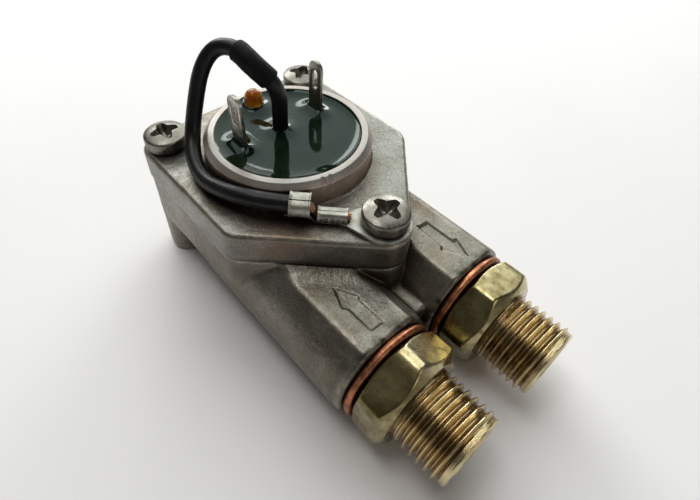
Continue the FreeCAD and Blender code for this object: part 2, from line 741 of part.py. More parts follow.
def ring_terminal(wire, strands):
    """The crimped lug: ring under the nose screw, neck, wire barrel and insulation grip."""
    low = COVER_TOP
    high = COVER_TOP + LUG_THICKNESS
    ring = cylinder(LUG_RING_RADIUS, low, high)
    half = LUG_NECK_WIDTH / 2
    neck_points = [
        Vector(0, -LUG_RING_RADIUS, low),
        Vector(LUG_BARREL_START, -half, low),
        Vector(LUG_BARREL_START + LUG_THICKNESS, -half, low),
        Vector(LUG_BARREL_START + LUG_THICKNESS, half, low),
        Vector(LUG_BARREL_START, half, low),
        Vector(0, LUG_RING_RADIUS, low),
    ]
    neck = Part.Face(Part.makePolygon(neck_points + neck_points[:1])).extrude(Vector(0, 0, LUG_THICKNESS))
    floor_half = LUG_FLOOR_WIDTH / 2
    floor = box(LUG_BARREL_START, LUG_GRIP_END, -floor_half, floor_half, low, high)
    flat = ring.multiFuse([neck, floor]).cut(cylinder(LUG_HOLE_RADIUS, low, high))
    flat.rotate(Vector(0, 0, 0), Vector(0, 0, 1), LUG_DIRECTION)
    flat.translate(Vector(0, -NOSE_SCREW, 0))
    barrel = lug_tube(LUG_BARREL_RADIUS, STRAND_RADIUS, LUG_BARREL_START, LUG_BARREL_END)
    grip = lug_tube(LUG_GRIP_RADIUS, WIRE_RADIUS, LUG_GRIP_START, LUG_GRIP_END)
    lug = flat.multiFuse([barrel, grip]).removeSplitter()
    return lug.cut(strands).cut(wire)


def wire_strands():
    """The bared copper strands in the lug's barrel."""
    direction = lug_point(1.0) - lug_point(0.0)
    return Part.makeCylinder(STRAND_RADIUS, WIRE_END - STRAND_START, lug_point(STRAND_START), direction)


def build():
    """All pieces by name."""
    left_tag = terminal_tag(-TAG_SPREAD)
    right_tag = terminal_tag(TAG_SPREAD)
    legs = led_leads()
    hall = hall_sensor()
    resistor = led_resistor()
    lamp = indicator_led()
    edges, radii = route_edges(WIRE_ROUTE)
    wire = earth_wire(edges, radii)
    strands = wire_strands()
    board = circuit_board([left_tag, right_tag, legs, hall, resistor])
    return {
        "meter_body": meter_body(),
        "sensor_cover": sensor_cover(),
        "chamber_seal": chamber_seal(),
        "impeller_wheel": impeller_wheel(),
        "impeller_magnets": impeller_magnets(),
        "impeller_spindle": impeller_spindle(),
        "lower_jewel": lower_jewel(),
        "upper_jewel": upper_jewel(),
        "inlet_jet": inlet_jet(),
        "inlet_fitting": fitting(-PORT_X, INLET_HEX_TURN),
        "outlet_fitting": fitting(PORT_X, OUTLET_HEX_TURN),
        "inlet_washer": copper_washer(-PORT_X),
        "outlet_washer": copper_washer(PORT_X),
        "cover_screws": cover_screws(),
        "lock_washers": lock_washers(),
        "circuit_board": board,
        "hall_sensor": hall,
        "led_resistor": resistor,
        "left_terminal": left_tag,
        "right_terminal": right_tag,
        "indicator_led": lamp,
        "led_leads": legs,
        "potting_resin": potting_resin([board, left_tag, right_tag, legs, hall, resistor, lamp, wire]),
        "earth_wire": wire,
        "wire_sleeve": wire_sleeve(edges, wire),
        "ring_terminal": ring_terminal(wire, strands),
        "wire_strands": strands,
    }


os.makedirs("parts", exist_ok=True)
for name, shape in build().items():
    shape.exportStep("parts/" + name + ".step")
    print(name, len(shape.Solids), "solids", "valid" if shape.isValid() else "NOT VALID", round(shape.Volume, 1))
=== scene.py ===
"""Flow meter of a coffee machine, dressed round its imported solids.

Points are millimetres until a mesh is made of them.
"""
import bmesh
import bpy
import math
import numpy
from mathutils import Matrix, Vector, noise


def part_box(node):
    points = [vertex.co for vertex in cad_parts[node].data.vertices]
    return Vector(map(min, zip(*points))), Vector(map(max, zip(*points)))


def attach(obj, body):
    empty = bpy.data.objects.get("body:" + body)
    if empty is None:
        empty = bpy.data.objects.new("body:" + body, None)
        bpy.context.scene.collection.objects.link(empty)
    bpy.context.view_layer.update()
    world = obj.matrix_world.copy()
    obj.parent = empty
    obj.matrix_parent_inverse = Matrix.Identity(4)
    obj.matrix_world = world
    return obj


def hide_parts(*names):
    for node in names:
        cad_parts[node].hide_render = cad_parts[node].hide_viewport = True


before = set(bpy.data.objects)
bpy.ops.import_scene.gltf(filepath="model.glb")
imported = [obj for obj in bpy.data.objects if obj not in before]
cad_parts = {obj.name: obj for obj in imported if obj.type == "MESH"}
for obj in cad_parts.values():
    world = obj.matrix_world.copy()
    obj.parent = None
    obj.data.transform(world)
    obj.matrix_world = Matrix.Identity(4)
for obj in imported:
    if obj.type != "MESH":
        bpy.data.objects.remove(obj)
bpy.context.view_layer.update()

MM = 0.001
TAU = 2 * math.pi
QUARTER = math.pi / 2
WELD = 0.0001 * MM
PIN_HOLE_SIDES = 8


def corners(node):
    """Lowest and highest corner of a solid, in millimetres."""
    low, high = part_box(node)
    return Vector(low) / MM, Vector(high) / MM


# Levels and places read from the solids
BODY_LOW, BODY_HIGH = corners("meter_body")
COVER_LOW, COVER_HIGH = corners("sensor_cover")
RESIN_LOW, RESIN_HIGH = corners("potting_resin")
SPRINGS_LOW, SPRINGS_HIGH = corners("lock_washers")
LED_LOW, LED_HIGH = corners("indicator_led")
LED_Y = (LED_LOW.y + LED_HIGH.y) / 2
SCREW_TIP = corners("cover_screws")[0].z
COVER_TOP = corners("ring_terminal")[0].z
PARTING = BODY_HIGH.z
RING_TOP = COVER_HIGH.z
RESIN_TOP = RESIN_HIGH.z
RING_BORE = RESIN_HIGH.x
HALF_WIDTH = COVER_HIGH.x
BACK = COVER_HIGH.y

# Casting: how it is evened out, its waves as rates and shares, and how far its arms are drawn in
CAST_WELD = 0.001
CAST_VOXEL = 0.34
CAST_EASE = 0.5
CAST_EASE_STEPS = 7
CAST_WAVE = 0.035
CAST_WAVES = ((0.55, 1.0), (1.4, 0.5))
BEND_BLUR = 5
ARM_SHORTER = 0.9
ARM_DRAWN = (1.0, 6.0)
ARM_END = BODY_LOW.y + ARM_SHORTER

# Flow arrows: walls as (outward, share of the depth), mouths as (outward, up)
ARROW_LEVEL = 19.0
ARROW_CORNER = 0.3
ARROW_MITRE = 0.4
ARROW_WALL = ((-0.34, -1.0), (-0.24, -0.9), (-0.1, -0.57), (0.03, -0.22))
ARROW_MOUTH = ((0.2, 0.02), (0.5, 0.3), (0.6, 1.0))
INLET_ARROW_DEPTH = 0.24
OUTLET_ARROW_DEPTH = 0.4
INLET_ARROW = (
    (-10.7, -24.3), (-8.6, -28.0), (-9.1, -28.6), (-9.0, -33.8),
    (-11.6, -33.7), (-11.6, -28.8), (-12.3, -28.0),
)
OUTLET_ARROW = (
    (11.7, -24.7), (11.8, -30.4), (12.6, -30.7), (11.0, -34.5),
    (8.4, -30.5), (9.3, -29.9), (9.5, -24.5),
)

# Cover
RING_RADIUS = 15.0
RING_CHAMFER = 0.9
RING_LIP = 0.15
RING_CREST = 0.12
RING_FILLET = 0.7
PLATE_START = RING_RADIUS + 2 * RING_FILLET
PLATE_SHARES = (0.2, 0.4, 0.6, 0.8, 0.93, 1.0)
COVER_ROUND = 0.9
COVER_ROUND_STEPS = 8
COVER_FOOT = PARTING + 0.02
COVER_FOOT_INSET = 0.25
SIDE_SHARES = (0.25, 0.5, 0.75, 0.94)
SIDE_ROUND = 4.0
ARC_STEPS = 16
NOSE_ANGLE = math.radians(45)
SPIGOT_RADIUS = 13.85
SPIGOT_EDGE = 0.2
JEWEL_RADIUS = 2.0
JEWEL_TOP = COVER_LOW.z + 1.3
COVER_STEPS = 480
TURNED_REACH = RING_RADIUS + 0.05
TURNED_FOOT = COVER_TOP + 0.2

# Knocks on the ring's chamfer: where they fade in and out by angle, height and radius
NICKS = (math.atan2(-14.35, -4.0) % TAU, math.atan2(-14.6, -2.6) % TAU)
NICK_DEPTH = 0.32
NICK_ANGLES = (0.006, 0.03)
NICK_HEIGHTS = (RING_TOP - 1.15, RING_TOP - 0.5)
NICK_RADII = (13.6, 14.2)

# Screws and spring washers
SPRING_RADIUS = 3.7
SPRING_BORE = 2.1
SPRING_THICKNESS = 0.9
SPRING_CHAMFER = 0.15
SPRING_GAP = 0.16
SPRING_LIFT = 0.12
SPRING_STEPS = 72
HEAD_RADIUS = 3.9
HEAD_RIM = 1.55
HEAD_HEIGHT = 2.4
HEAD_STEPS = 96
DOME_RADII = (0.0, 0.8, 1.6, 2.3, 2.9, 3.3, 3.5)
SHANK_RADIUS = 2.0
LUG_THICKNESS = 0.8
SCREW_EDGE = BACK - SPRINGS_HIGH.y + SPRING_RADIUS
REAR_X = HALF_WIDTH - SCREW_EDGE
REAR_Y = BACK - SCREW_EDGE
NOSE_Y = SPRINGS_LOW.y + SPRING_RADIUS
NOSE_OFFSET = -NOSE_Y * math.cos(NOSE_ANGLE) + SCREW_EDGE

# Each screw's place, its seat over the cover and the turn of its cross
SCREWS = ((-REAR_X, REAR_Y, 0.0, -0.1), (REAR_X, REAR_Y, 0.0, 0.6), (0.0, NOSE_Y, LUG_THICKNESS, 0.0))

# Cross recess: height over the head, length of a wing and half width of its root; then shares of these
CROSS_ROWS = (
    (0.4, 2.85, 1.04), (-0.2, 2.65, 0.96), (-1.0, 2.15, 0.76), (-1.7, 1.4, 0.52), (-1.95, 0.6, 0.3),
)
CROSS_ROOT = 1.2
CROSS_SHOULDER = (0.82, 0.72)
CROSS_TIP = 0.42

# Brown on the nose faces under the nose screw, a stain with a painted dark reflection, and a brown stain
# under the wire
NOSE_STAIN_AND_REFLECTION = (3.0, NOSE_Y - 4.0, COVER_TOP - 4.5)
WIRE_STAIN = (-10.5, -13.5, COVER_TOP)

# Fittings: each port's name and the turn of its hexagon, then the sizes
PORTS = (("inlet", math.radians(90)), ("outlet", math.radians(109)))
PORT_Z = 9.9
THREAD_RADIUS = 13.157 / 2
THREAD_PITCH = 1.337
THREAD_DEPTH = 0.85
THREAD_FLANK = 1.4
THREAD_ROOT = 0.26
THREAD_START = 0.3
THREAD_FULL = 1.1
THREAD_NECK = 0.25
THREAD_NECK_END = 0.9
THREAD_TIP = 0.95
THREAD_TIP_RUN = 0.3
THREAD_TIP_STEP = 0.5
THREAD_TIP_CHAMFER = 0.75
THREAD_ROWS = 16
HEX_FLATS = 17.0
HEX_LENGTH = 6.2
HEX_CORNER = 0.968
HEX_FRONT = 0.92
HEX_FRONT_SLOPE = 1.2
HEX_FRONT_ROWS = 18
HEX_BACK = 0.95
HEX_BACK_SLOPE = 1.6
HEX_BACK_ROWS = 14
HEX_ROW = 0.1
HEX_SOFT = 0.1
FITTING_BORE = 4.0
FITTING_CHAMFER = 0.5
BORE_CHAMFER = 0.4
FITTING_STEPS = 300
WASHER_GAP = 0.12
WASHER_SHRINK = 0.06
WASHER_WAVE = 0.08
WASHER_WAVE_RATE = 2.5
WASHER_STEPS = 120
JET_X = -10.25

# Solder tags and the lamp
TAG_FOOT = 0.2
TAG_SLOT_HALF = 0.7
TAG_SLOT_TOP = 1.7
TAG_SLOT_LENGTH = 2.3
TAG_ROUND = 0.2
TAG_SOLDER = 0.5
SOLDER_OVERLAP = 0.1
LAMP_RADIUS = 1.7
LAMP_STEPS = 48
LAMP_DOME_STEPS = 12

# Resin: how far it climbs the ring, which differs with the side, and what stands in it
RESIN_STEPS = 240
RESIN_RINGS = 130
RESIN_EDGE = RING_BORE - 0.01
RESIN_PROUD = 0.02
RESIN_WAVE = 0.01
RESIN_WAVE_RATE = 0.16
RESIN_CLIMB = 0.8
CLIMB_REACH = 1.15
CLIMB_SIDES = (-0.3, 0.15)
WIRE_RISE = 0.6
LAMP_RISE = 0.9
TAG_RISE = 1.0
MOUND_SHARE = 0.6
MOUND_REACH = 1.5
MENISCUS_REACH = 0.3

# Lug on the nose screw, measured along its own axis
LUG_DIRECTION = math.radians(133.5)
LUG_RING = 4.4
LUG_HOLE = 2.2
LUG_SHEET = 0.45
LUG_EDGE = 0.12
LUG_NECK_END = 6.2
LUG_NECK_HALF = 1.4
LUG_PLATE_END = 7.5
LUG_TAIL = 15.8
LUG_STRIP_HALF = 0.95
LUG_STEPS = 48
BARREL = (5.9, 10.6)
BARREL_AXIS = 1.3
BARREL_RADIUS = 1.3
BARREL_RIBS = 5
GRIP = (11.7, 15.0)
GRIP_AXIS = 3.1
GRIP_RADIUS = 1.95
GRIP_ROLL = -0.35
LUG_BEND = (BARREL[1], GRIP[0] + 0.2)
TONGUE_RISE = GRIP_AXIS - GRIP_RADIUS - 0.05

# Crimps: flared mouths, ribs on the flanks and wings that dip into a seam
CRIMP_STEPS = 60
CRIMP_SIDE_STEPS = 24
CRIMP_FLARE = 0.12
CRIMP_FLARE_END = 0.45
CRIMP_RIB = 0.16
CRIMP_RIB_START = (0.3, 0.7)
CRIMP_FLANK_START = (0.08, 0.25)
CRIMP_FLANK_END = (0.5, 0.7)
CRIMP_DIP = 0.36
CRIMP_DIP_START = 0.76
CRIMP_SEAM = 0.06

# Strands: layers as (distance from the middle, count)
STRAND_LAYERS = ((0, 1), (0.33, 6), (0.62, 12))
STRAND_RADIUS = 0.16
STRAND_SIDES = 8
STRAND_STEPS = 24
STRAND_TWIST = 1.4
STRAND_START = BARREL[0] - 0.45
STRAND_UNEVEN = 0.3
STRAND_END = GRIP[0] + 0.5

# Earth wire and the sleeve on its arch
WIRE_RADIUS = 1.4
SLEEVE_RADIUS = 1.85
SLEEVE_START = 15.3
SLEEVE_END = 22.6
SLEEVE_EDGE = 0.1
SLEEVE_BORE = WIRE_RADIUS - 0.05
SLEEVE_STEPS = 40
SLEEVE_WRINKLE = 0.05
SLEEVE_WRINKLE_RATE = 0.9


def lug_point(along, across=0.0, up=0.0):
    """A point of the lug: distance from the screw, sideways, and height over the cover."""
    cos = math.cos(LUG_DIRECTION)
    sin = math.sin(LUG_DIRECTION)
    return Vector((along * cos - across * sin, NOSE_Y + along * sin + across * cos, COVER_TOP + up))


# The wire's points from the board to the lug
WIRE_ROUTE = (
    (-0.4, 1.8, 25.7),
    (-0.4, 1.8, 31.8),
    (-1.0, 0.8, 39.2),
    (-3.9, 3.2, 43.0),
    (-4.1, 7.9, 44.5),
    (-6.0, 11.2, 43.9),
    (-8.6, 12.2, 40.5),
    (-11.0, 11.8, 34.9),
    (-13.1, 10.8, 30.0),
    (-15.6, 7.0, 27.9),
    (-17.0, 1.4, 27.5),
    (-16.2, -4.2, 28.6),
    (-14.3, -8.7, 29.3),
    tuple(lug_point(16.3, up=GRIP_AXIS)),
    tuple(lug_point(12.0, up=GRIP_AXIS)),
)


# Helpers
def put(thing, **settings):
    """Sets several properties of one thing and gives it back."""
    for name, value in settings.items():
        setattr(thing, name, value)
    return thing


def linked(name, data):
    """A new object in the scene."""
    ob = bpy.data.objects.new(name, data)
    bpy.context.scene.collection.objects.link(ob)
    return ob


def worked_out(ob):
    """The mesh that an object's modifiers or its curve make."""
    graph = bpy.context.evaluated_depsgraph_get()
    return bpy.data.meshes.new_from_object(ob.evaluated_get(graph))


def polar(radius, angle):
    """A flat point at a distance and an angle."""
    return radius * math.cos(angle), radius * math.sin(angle)


def turns(steps):
    """Even angles round a full turn."""
    return [TAU * i / steps for i in range(steps)]


def even(start, end, steps):
    """Values in even steps from start to end, both among them."""
    return [start + (end - start) * i / steps for i in range(steps + 1)]


def smooth_step(low, high, value):
    """0 below low, 1 above high, and an even ease between."""
    share = min(max((value - low) / (high - low), 0.0), 1.0)
    return share * share * (3 - 2 * share)


def soften(profile, steps=5):
    """A line through (a, b, rounding) corners, each corner rounded."""
    line = []
    for i, (a, b, size) in enumerate(profile):
        here = Vector((a, b))
        if size == 0 or i in (0, len(profile) - 1):
            line.append(here)
            continue
        before = Vector(profile[i - 1][:2]) - here
        after = Vector(profile[i + 1][:2]) - here
        start = here + before.normalized() * min(size, before.length / 2)
        end = here + after.normalized() * min(size, after.length / 2)
        for step in range(steps + 1):
            t = step / steps
            line.append(start * (1 - t) ** 2 + here * 2 * t * (1 - t) + end * t ** 2)
    return line


def skin(rows, ring=False, join=None):
    """Points and faces over closed rows of equal length, capped at both ends or joined to a ring.

    Where rows run round as a helix, join says which row each one meets when it comes round.
    """
    width = len(rows[0])
    points = [point for row in rows for point in row]
    faces = []
    join = join or list(range(len(rows)))
    for i in range(len(rows) if ring else len(rows) - 1):
        k = (i + 1) % len(rows)
        for j in range(width - 1):
            faces.append((i * width + j, i * width + j + 1, k * width + j + 1, k * width + j))
        faces.append((i * width + width - 1, join[i] * width, join[k] * width, k * width + width - 1))
    if not ring:
        faces.append(tuple(range(width)))
        faces.append(tuple(range(len(points) - width, len(points))))
    return points, faces


def settle(mesh, sharp):
    """Welds a mesh, closes pin holes, turns its faces outward and smooths all but sharp edges."""
    work = bmesh.new()
    work.from_mesh(mesh)
    bmesh.ops.remove_doubles(work, verts=work.verts, dist=WELD)
    bmesh.ops.dissolve_degenerate(work, edges=work.edges, dist=WELD)
    rims = [edge for edge in work.edges if edge.is_boundary]
    bmesh.ops.holes_fill(work, edges=rims, sides=PIN_HOLE_SIDES)
    bmesh.ops.recalc_face_normals(work, faces=work.faces)
    work.to_mesh(mesh)
    work.free()
    mesh.shade_smooth()
    mesh.set_sharp_from_angle(angle=math.radians(sharp))


def made(name, points, faces, sharp=40):
    """A new object from points in millimetres."""
    mesh = bpy.data.meshes.new(name)
    mesh.from_pydata([Vector(point) * MM for point in points], [], faces)
    settle(mesh, sharp)
    return linked(name, mesh)


def dress(ob, finishes, node):
    """Gives a piece its finishes and the body it rides on, and hides the solid that it stands for."""
    for finish in finishes:
        ob.data.materials.append(finish)
    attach(ob, "housing")
    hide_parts(node)
    return ob


def fix(ob, sharp):
    """Works an object's modifiers into its mesh."""
    mesh = worked_out(ob)
    ob.modifiers.clear()
    ob.data = mesh
    settle(mesh, sharp)


def carve(ob, cutter, sharp):
    """Cuts one object out of another."""
    put(ob.modifiers.new("cut", "BOOLEAN"), operation="DIFFERENCE", solver="EXACT", object=cutter)
    fix(ob, sharp)
    bpy.data.objects.remove(cutter)


def roughen(mesh, turned):
    """Gives a casting its small waves, save what is turned about the middle, and keeps it on the floor."""
    places = [vertex.co.copy() for vertex in mesh.vertices]
    normals = [vertex.normal.copy() for vertex in mesh.vertices]
    for vertex, place, normal in zip(mesh.vertices, places, normals):
        if place.xy.length / MM >= turned:
            wave = sum(share * noise.noise(place / MM * rate) for rate, share in CAST_WAVES)
            vertex.co = place + normal * wave * CAST_WAVE * MM
            vertex.co.z = max(vertex.co.z, 0.0)


def column(items, field, count, kind=float):
    """A field of a mesh as one array."""
    values = numpy.empty(count, dtype=kind)
    items.foreach_get(field, values)
    return values


def mark_bends(mesh):
    """Stores how sharply the surface bends at each point, per millimetre: out above 0, in below 0."""
    count = len(mesh.vertices)
    places = column(mesh.vertices, "co", count * 3).reshape(-1, 3) / MM
    normals = column(mesh.vertex_normals, "vector", count * 3).reshape(-1, 3)
    pairs = column(mesh.edges, "vertices", len(mesh.edges) * 2, numpy.int32)
    here = numpy.concatenate((pairs[0::2], pairs[1::2]))
    there = numpy.concatenate((pairs[1::2], pairs[0::2]))
    across = places[here] - places[there]
    lean = 2 * (across * normals[here]).sum(axis=1) / (across ** 2).sum(axis=1)
    shares = numpy.bincount(here, minlength=count)
    bends = numpy.bincount(here, lean, count) / shares
    for _ in range(BEND_BLUR):
        bends = numpy.bincount(here, bends[there], count) / shares
    mesh.attributes.new("bend", "FLOAT", "POINT").data.foreach_set("value", bends)


def circle_row(radius, x, y, z, steps):
    """A level circle of points."""
    spots = [polar(radius, angle) for angle in turns(steps)]
    return [(x + a, y + b, z) for a, b in spots]


def lathe(profile, x, y, steps):
    """Points and faces of an upright turned form whose profile starts and ends on the axis."""
    return skin([circle_row(r, x, y, z, steps) for r, z in profile])


# Finishes
class Finish:
    """A material on one principled shader, its colour laid on in layers."""

    def __init__(self, name, colour, metal=0.0, rough=0.5):
        self.material = put(bpy.data.materials.new(name), use_nodes=True)
        self.tree = self.material.node_tree
        self.shader = self.tree.nodes["Principled BSDF"]
        self.set("Base Color", colour)
        self.set("Metallic", metal)
        self.set("Roughness", rough)
        self.place = self.node("TexCoord", "Object")
        self.normal = None

    def feed(self, socket, value):
        """Links an output to an input, or sets the input."""
        if isinstance(value, bpy.types.NodeSocket):
            self.tree.links.new(value, socket)
        elif socket.type == "RGBA":
            socket.default_value = (*value, 1)
        else:
            socket.default_value = value

    def set(self, name, value):
        """Feeds an input of the shader."""
        self.feed(self.shader.inputs[name], value)

    def node(self, kind, output, inputs=(), **settings):
        """One output of a new node, whose inputs are fed by name or number."""
        new = put(self.tree.nodes.new("ShaderNode" + kind), **settings)
        for key, value in dict(inputs).items():
            self.feed(new.inputs[key], value)
        return new.outputs[output]

    def math(self, operation, first, second=0.0):
        return self.node("Math", "Value", {0: first, 1: second}, operation=operation)

    def times(self, first, second):
        return self.math("MULTIPLY", first, second)

    def vector(self, operation, first, second=(0, 0, 0), output="Vector"):
        return self.node("VectorMath", output, {0: first, 1: second}, operation=operation)

    def part(self, vector, name):
        """One coordinate of a vector."""
        return self.node("SeparateXYZ", name, {"Vector": vector})

    def axis(self, name):
        """A coordinate of the surface, in metres."""
        return self.part(self.place, name)

    def upward(self):
        """The upward part of the surface normal."""
        return self.part(self.node("NewGeometry", "Normal"), "Z")

    def span(self, value, low, high, start=0.0, end=1.0):
        """A value between low and high mapped to start and end."""
        limits = {"From Min": low, "From Max": high, "To Min": start, "To Max": end}
        return self.node("MapRange", "Result", {"Value": value, **limits})

    def mix(self, share, first, second):
        """One colour going over to another."""
        return self.node("Mix", 2, {0: share, 6: first, 7: second}, data_type="RGBA")

    def noise(self, size, detail=3.0, stretch=(1, 1, 1), seed=0.0):
        """Noise with cells of about size millimetres, drawn out along an axis by a small stretch."""
        moved = {"Vector": self.place, "Location": (seed, seed, seed), "Scale": stretch}
        spot = self.node("Mapping", "Vector", moved)
        cells = {"Vector": spot, "Scale": 1 / (size * MM), "Detail": detail}
        return self.node("TexNoise", "Fac", cells)

    def rings(self, size, x=0.0, z=0.0, axis="Z", lean=1.7):
        """Fine turning lines about an axis through a point, in steps of about size millimetres."""
        shift = self.vector("SUBTRACT", self.place, (x * MM, 0, z * MM))
        flat = self.vector("MULTIPLY", shift, (1, 1, 0) if axis == "Z" else (1, 0, 1))
        radius = self.vector("LENGTH", flat, output="Value")
        way = self.math("ADD", radius, self.times(self.part(shift, axis), lean))
        lines = {"W": way, "Scale": 1 / (size * MM), "Detail": 2.0}
        return self.node("TexNoise", "Fac", lines, noise_dimensions="1D")

    def hollow_shade(self, reach, low=0.3, high=0.95):
        """1 in corners and recesses within reach millimetres, 0 in the open, from ambient occlusion; the
        finishes lay painted shade, with some dirt, by it.
        """
        light = self.node("AmbientOcclusion", "AO", {"Distance": reach * MM}, samples=8)
        return self.span(light, low, high, 1.0, 0.0)

    def near(self, place, reach, core=0.3):
        """1 in the core about a point in millimetres, falling to 0 at reach from it."""
        gap = self.vector("DISTANCE", self.place, Vector(place) * MM, "Value")
        return self.span(gap, reach * MM, reach * core * MM)

    def bend(self, low, high):
        """0 to 1 as the mesh bends from low to high, per millimetre."""
        return self.span(self.node("Attribute", "Fac", attribute_name="bend"), low, high)

    def ground(self, share, first, second):
        """Starts the colour as one tone going over to another."""
        self.base = self.mix(share, first, second)
        self.set("Base Color", self.base)

    def lay(self, share, colour):
        """Lays a colour over what is there."""
        self.ground(share, self.base, colour)

    def veil(self, value, low, high, most, colour):
        """Lays a colour on as a value goes from low to high, with most as its largest share."""
        self.lay(self.span(value, low, high, 0.0, most), colour)

    def rough(self, value, low, high, start, end):
        self.set("Roughness", self.span(value, low, high, start, end))

    def bump(self, height, depth):
        """Raises the surface by up to depth millimetres."""
        inputs = {"Height": height, "Distance": depth * MM}
        if self.normal is not None:
            inputs["Normal"] = self.normal
        self.normal = self.node("Bump", "Normal", inputs)
        self.set("Normal", self.normal)


def cast_finish(name, seed, cover):
    """Plated casting: grey-brown satin with a sandy grain, brown stains, worn edges with a painted
    highlight, and dirt with painted shade in the corners.

    The cover's rim and the body's outward bends are painted lighter, as wear and painted highlight; the
    body's upward faces are painted lighter, as painted light from above; its inward bends are darker, as
    dirt and painted shade; and its arms end in grime.
    """
    coat = Finish(name, (0.19, 0.175, 0.145), metal=0.85)
    cloud = coat.noise(5.0, 5.0, seed=seed)
    shade = coat.span(cloud, 0.32, 0.68)
    grain = coat.noise(0.3, 2.0, seed=seed)
    up = coat.upward()
    along = coat.axis("Y")
    if cover:
        coat.ground(shade, (0.16, 0.154, 0.131), (0.245, 0.245, 0.221))
    else:
        coat.ground(shade, (0.146, 0.131, 0.104), (0.222, 0.205, 0.168))
        # Upward faces of the body are painted lighter: painted light from above.
        lit_tops = coat.mix(shade, (0.172, 0.16, 0.13), (0.262, 0.252, 0.215))
        coat.lay(coat.span(up, 0.3, 0.95), lit_tops)
    coat.veil(grain, 0.55, 0.75, 0.35, (0.48, 0.47, 0.43))
    coat.veil(grain, 0.45, 0.28, 0.55, (0.065, 0.055, 0.043))
    coat.veil(coat.noise(9.0, 6.0, seed=seed + 0.3), 0.5, 0.68, 0.65, (0.115, 0.075, 0.045))
    contour = coat.math("ABSOLUTE", coat.math("SUBTRACT", coat.noise(7.0, 2.0, seed=seed), 0.5))
    swirls = coat.span(coat.noise(10.5, 2.0, seed=seed + 0.7), 0.52, 0.6, 0.0, 0.35)
    coat.lay(coat.times(coat.span(contour, 0.005, 0.0), swirls), (0.45, 0.43, 0.39))
    # Brown on the nose faces: stain and painted dark reflection.
    nose = coat.times(coat.near(NOSE_STAIN_AND_REFLECTION, 9.0), coat.span(cloud, 0.4, 0.6, 0.1, 0.8))
    coat.lay(nose, (0.13, 0.075, 0.042))
    # Dark brown laid in corners and recesses by ambient occlusion: dirt and painted shade.
    dirt_and_shade = coat.hollow_shade(3.5, 0.2, 0.82)
    if cover:
        rust = coat.times(coat.near(WIRE_STAIN, 11.0), coat.span(grain, 0.35, 0.62, 0.85, 0.3))
        coat.lay(rust, (0.17, 0.105, 0.07))
        coat.lay(dirt_and_shade, (0.035, 0.024, 0.016))
        # The cover's rim, found by its tilted normals, is painted lighter: wear and a painted highlight.
        wear_and_highlight = coat.times(coat.span(up, 0.92, 0.8), coat.span(up, 0.25, 0.45))
    else:
        # Less of this dirt and painted shade near the arm ends.
        less_shade_at_arm_ends = coat.span(along, (ARM_END + 0.3) * MM, (ARM_END + 2.5) * MM, 0.3, 1.0)
        coat.lay(coat.times(dirt_and_shade, less_shade_at_arm_ends), (0.035, 0.024, 0.016))
        # Inward bends of the body are darkened: crease dirt and painted shade.
        coat.lay(coat.bend(-0.1, -0.45), (0.06, 0.045, 0.032))
        # The body's outward bends are painted lighter: wear and a painted highlight.
        wear_and_highlight = coat.bend(0.12, 0.4)
    patchy = coat.span(coat.noise(3.0, 4.0, seed=seed + 0.5), 0.35, 0.6, 0.15, 0.85)
    coat.lay(coat.times(wear_and_highlight, patchy), (0.36, 0.33, 0.275))
    if not cover:
        ends = coat.span(along, (ARM_END + 2.8) * MM, (ARM_END + 0.4) * MM)
        smears = coat.span(coat.noise(2.2, 5.0, seed=seed + 0.9), 0.46, 0.66, 0.1, 0.95)
        coat.lay(coat.times(ends, smears), (0.03, 0.03, 0.02))
    coat.rough(coat.noise(0.9, 3.0, seed=seed), 0.3, 0.7, 0.32, 0.47)
    coat.bump(coat.noise(1.2, 3.0, seed=seed + 0.1), 0.07)
    coat.bump(grain, 0.045)
    return coat.material


def turned_finish():
    """The machined ring: turning lines and a bright top; its wall has brown tarnish and is painted
    lighter, as painted light, and its corners have painted shade.
    """
    coat = Finish("turned_ring", (0.5, 0.44, 0.39), metal=0.65)
    lines = coat.rings(0.16)
    cloud = coat.noise(5.0, 5.0)
    grain = coat.noise(0.5, 3.0)
    # The wall is painted lighter and pinker than the top: brown tarnish and painted light.
    lit_tarnished_wall = coat.span(coat.axis("Z"), (RING_TOP - 0.2) * MM, (RING_TOP - RING_CHAMFER - 0.6) * MM)
    coat.ground(lit_tarnished_wall, (0.36, 0.35, 0.33), (0.66, 0.52, 0.43))
    brown = coat.times(coat.span(cloud, 0.45, 0.65, 0.0, 0.7), coat.span(lit_tarnished_wall, 0.0, 0.5, 0.35, 1.0))
    coat.lay(brown, (0.3, 0.19, 0.14))
    coat.veil(grain, 0.52, 0.72, 0.35, (0.55, 0.45, 0.38))
    coat.veil(lines, 0.45, 0.75, 0.45, (0.2, 0.14, 0.11))
    # Painted shade, with some dirt, in the ring's corners.
    coat.lay(coat.hollow_shade(1.6, 0.2, 0.8), (0.09, 0.06, 0.045))
    coat.rough(lines, 0.3, 0.7, 0.32, 0.5)
    coat.bump(lines, 0.03)
    coat.bump(grain, 0.02)
    return coat.material


def thread_brass(name, x):
    """Turned brass of a fitting about its own axis: tool lines, grooves darkened by brown tarnish and
    painted shade, and bright crests.
    """
    coat = Finish(name, (0.66, 0.53, 0.28), metal=1.0)
    cloud = coat.noise(3.0, 4.0, seed=x)
    lines = coat.rings(0.14, x, PORT_Z, "Y")
    coat.ground(coat.span(cloud, 0.35, 0.65), (0.74, 0.63, 0.38), (0.57, 0.45, 0.24))
    coat.veil(lines, 0.55, 0.75, 0.5, (0.36, 0.22, 0.09))
    # Brown in the grooves by ambient occlusion: tarnish and painted shade.
    coat.lay(coat.hollow_shade(0.9), (0.2, 0.1, 0.035))
    coat.rough(lines, 0.35, 0.7, 0.12, 0.32)
    coat.bump(lines, 0.03)
    return coat.material


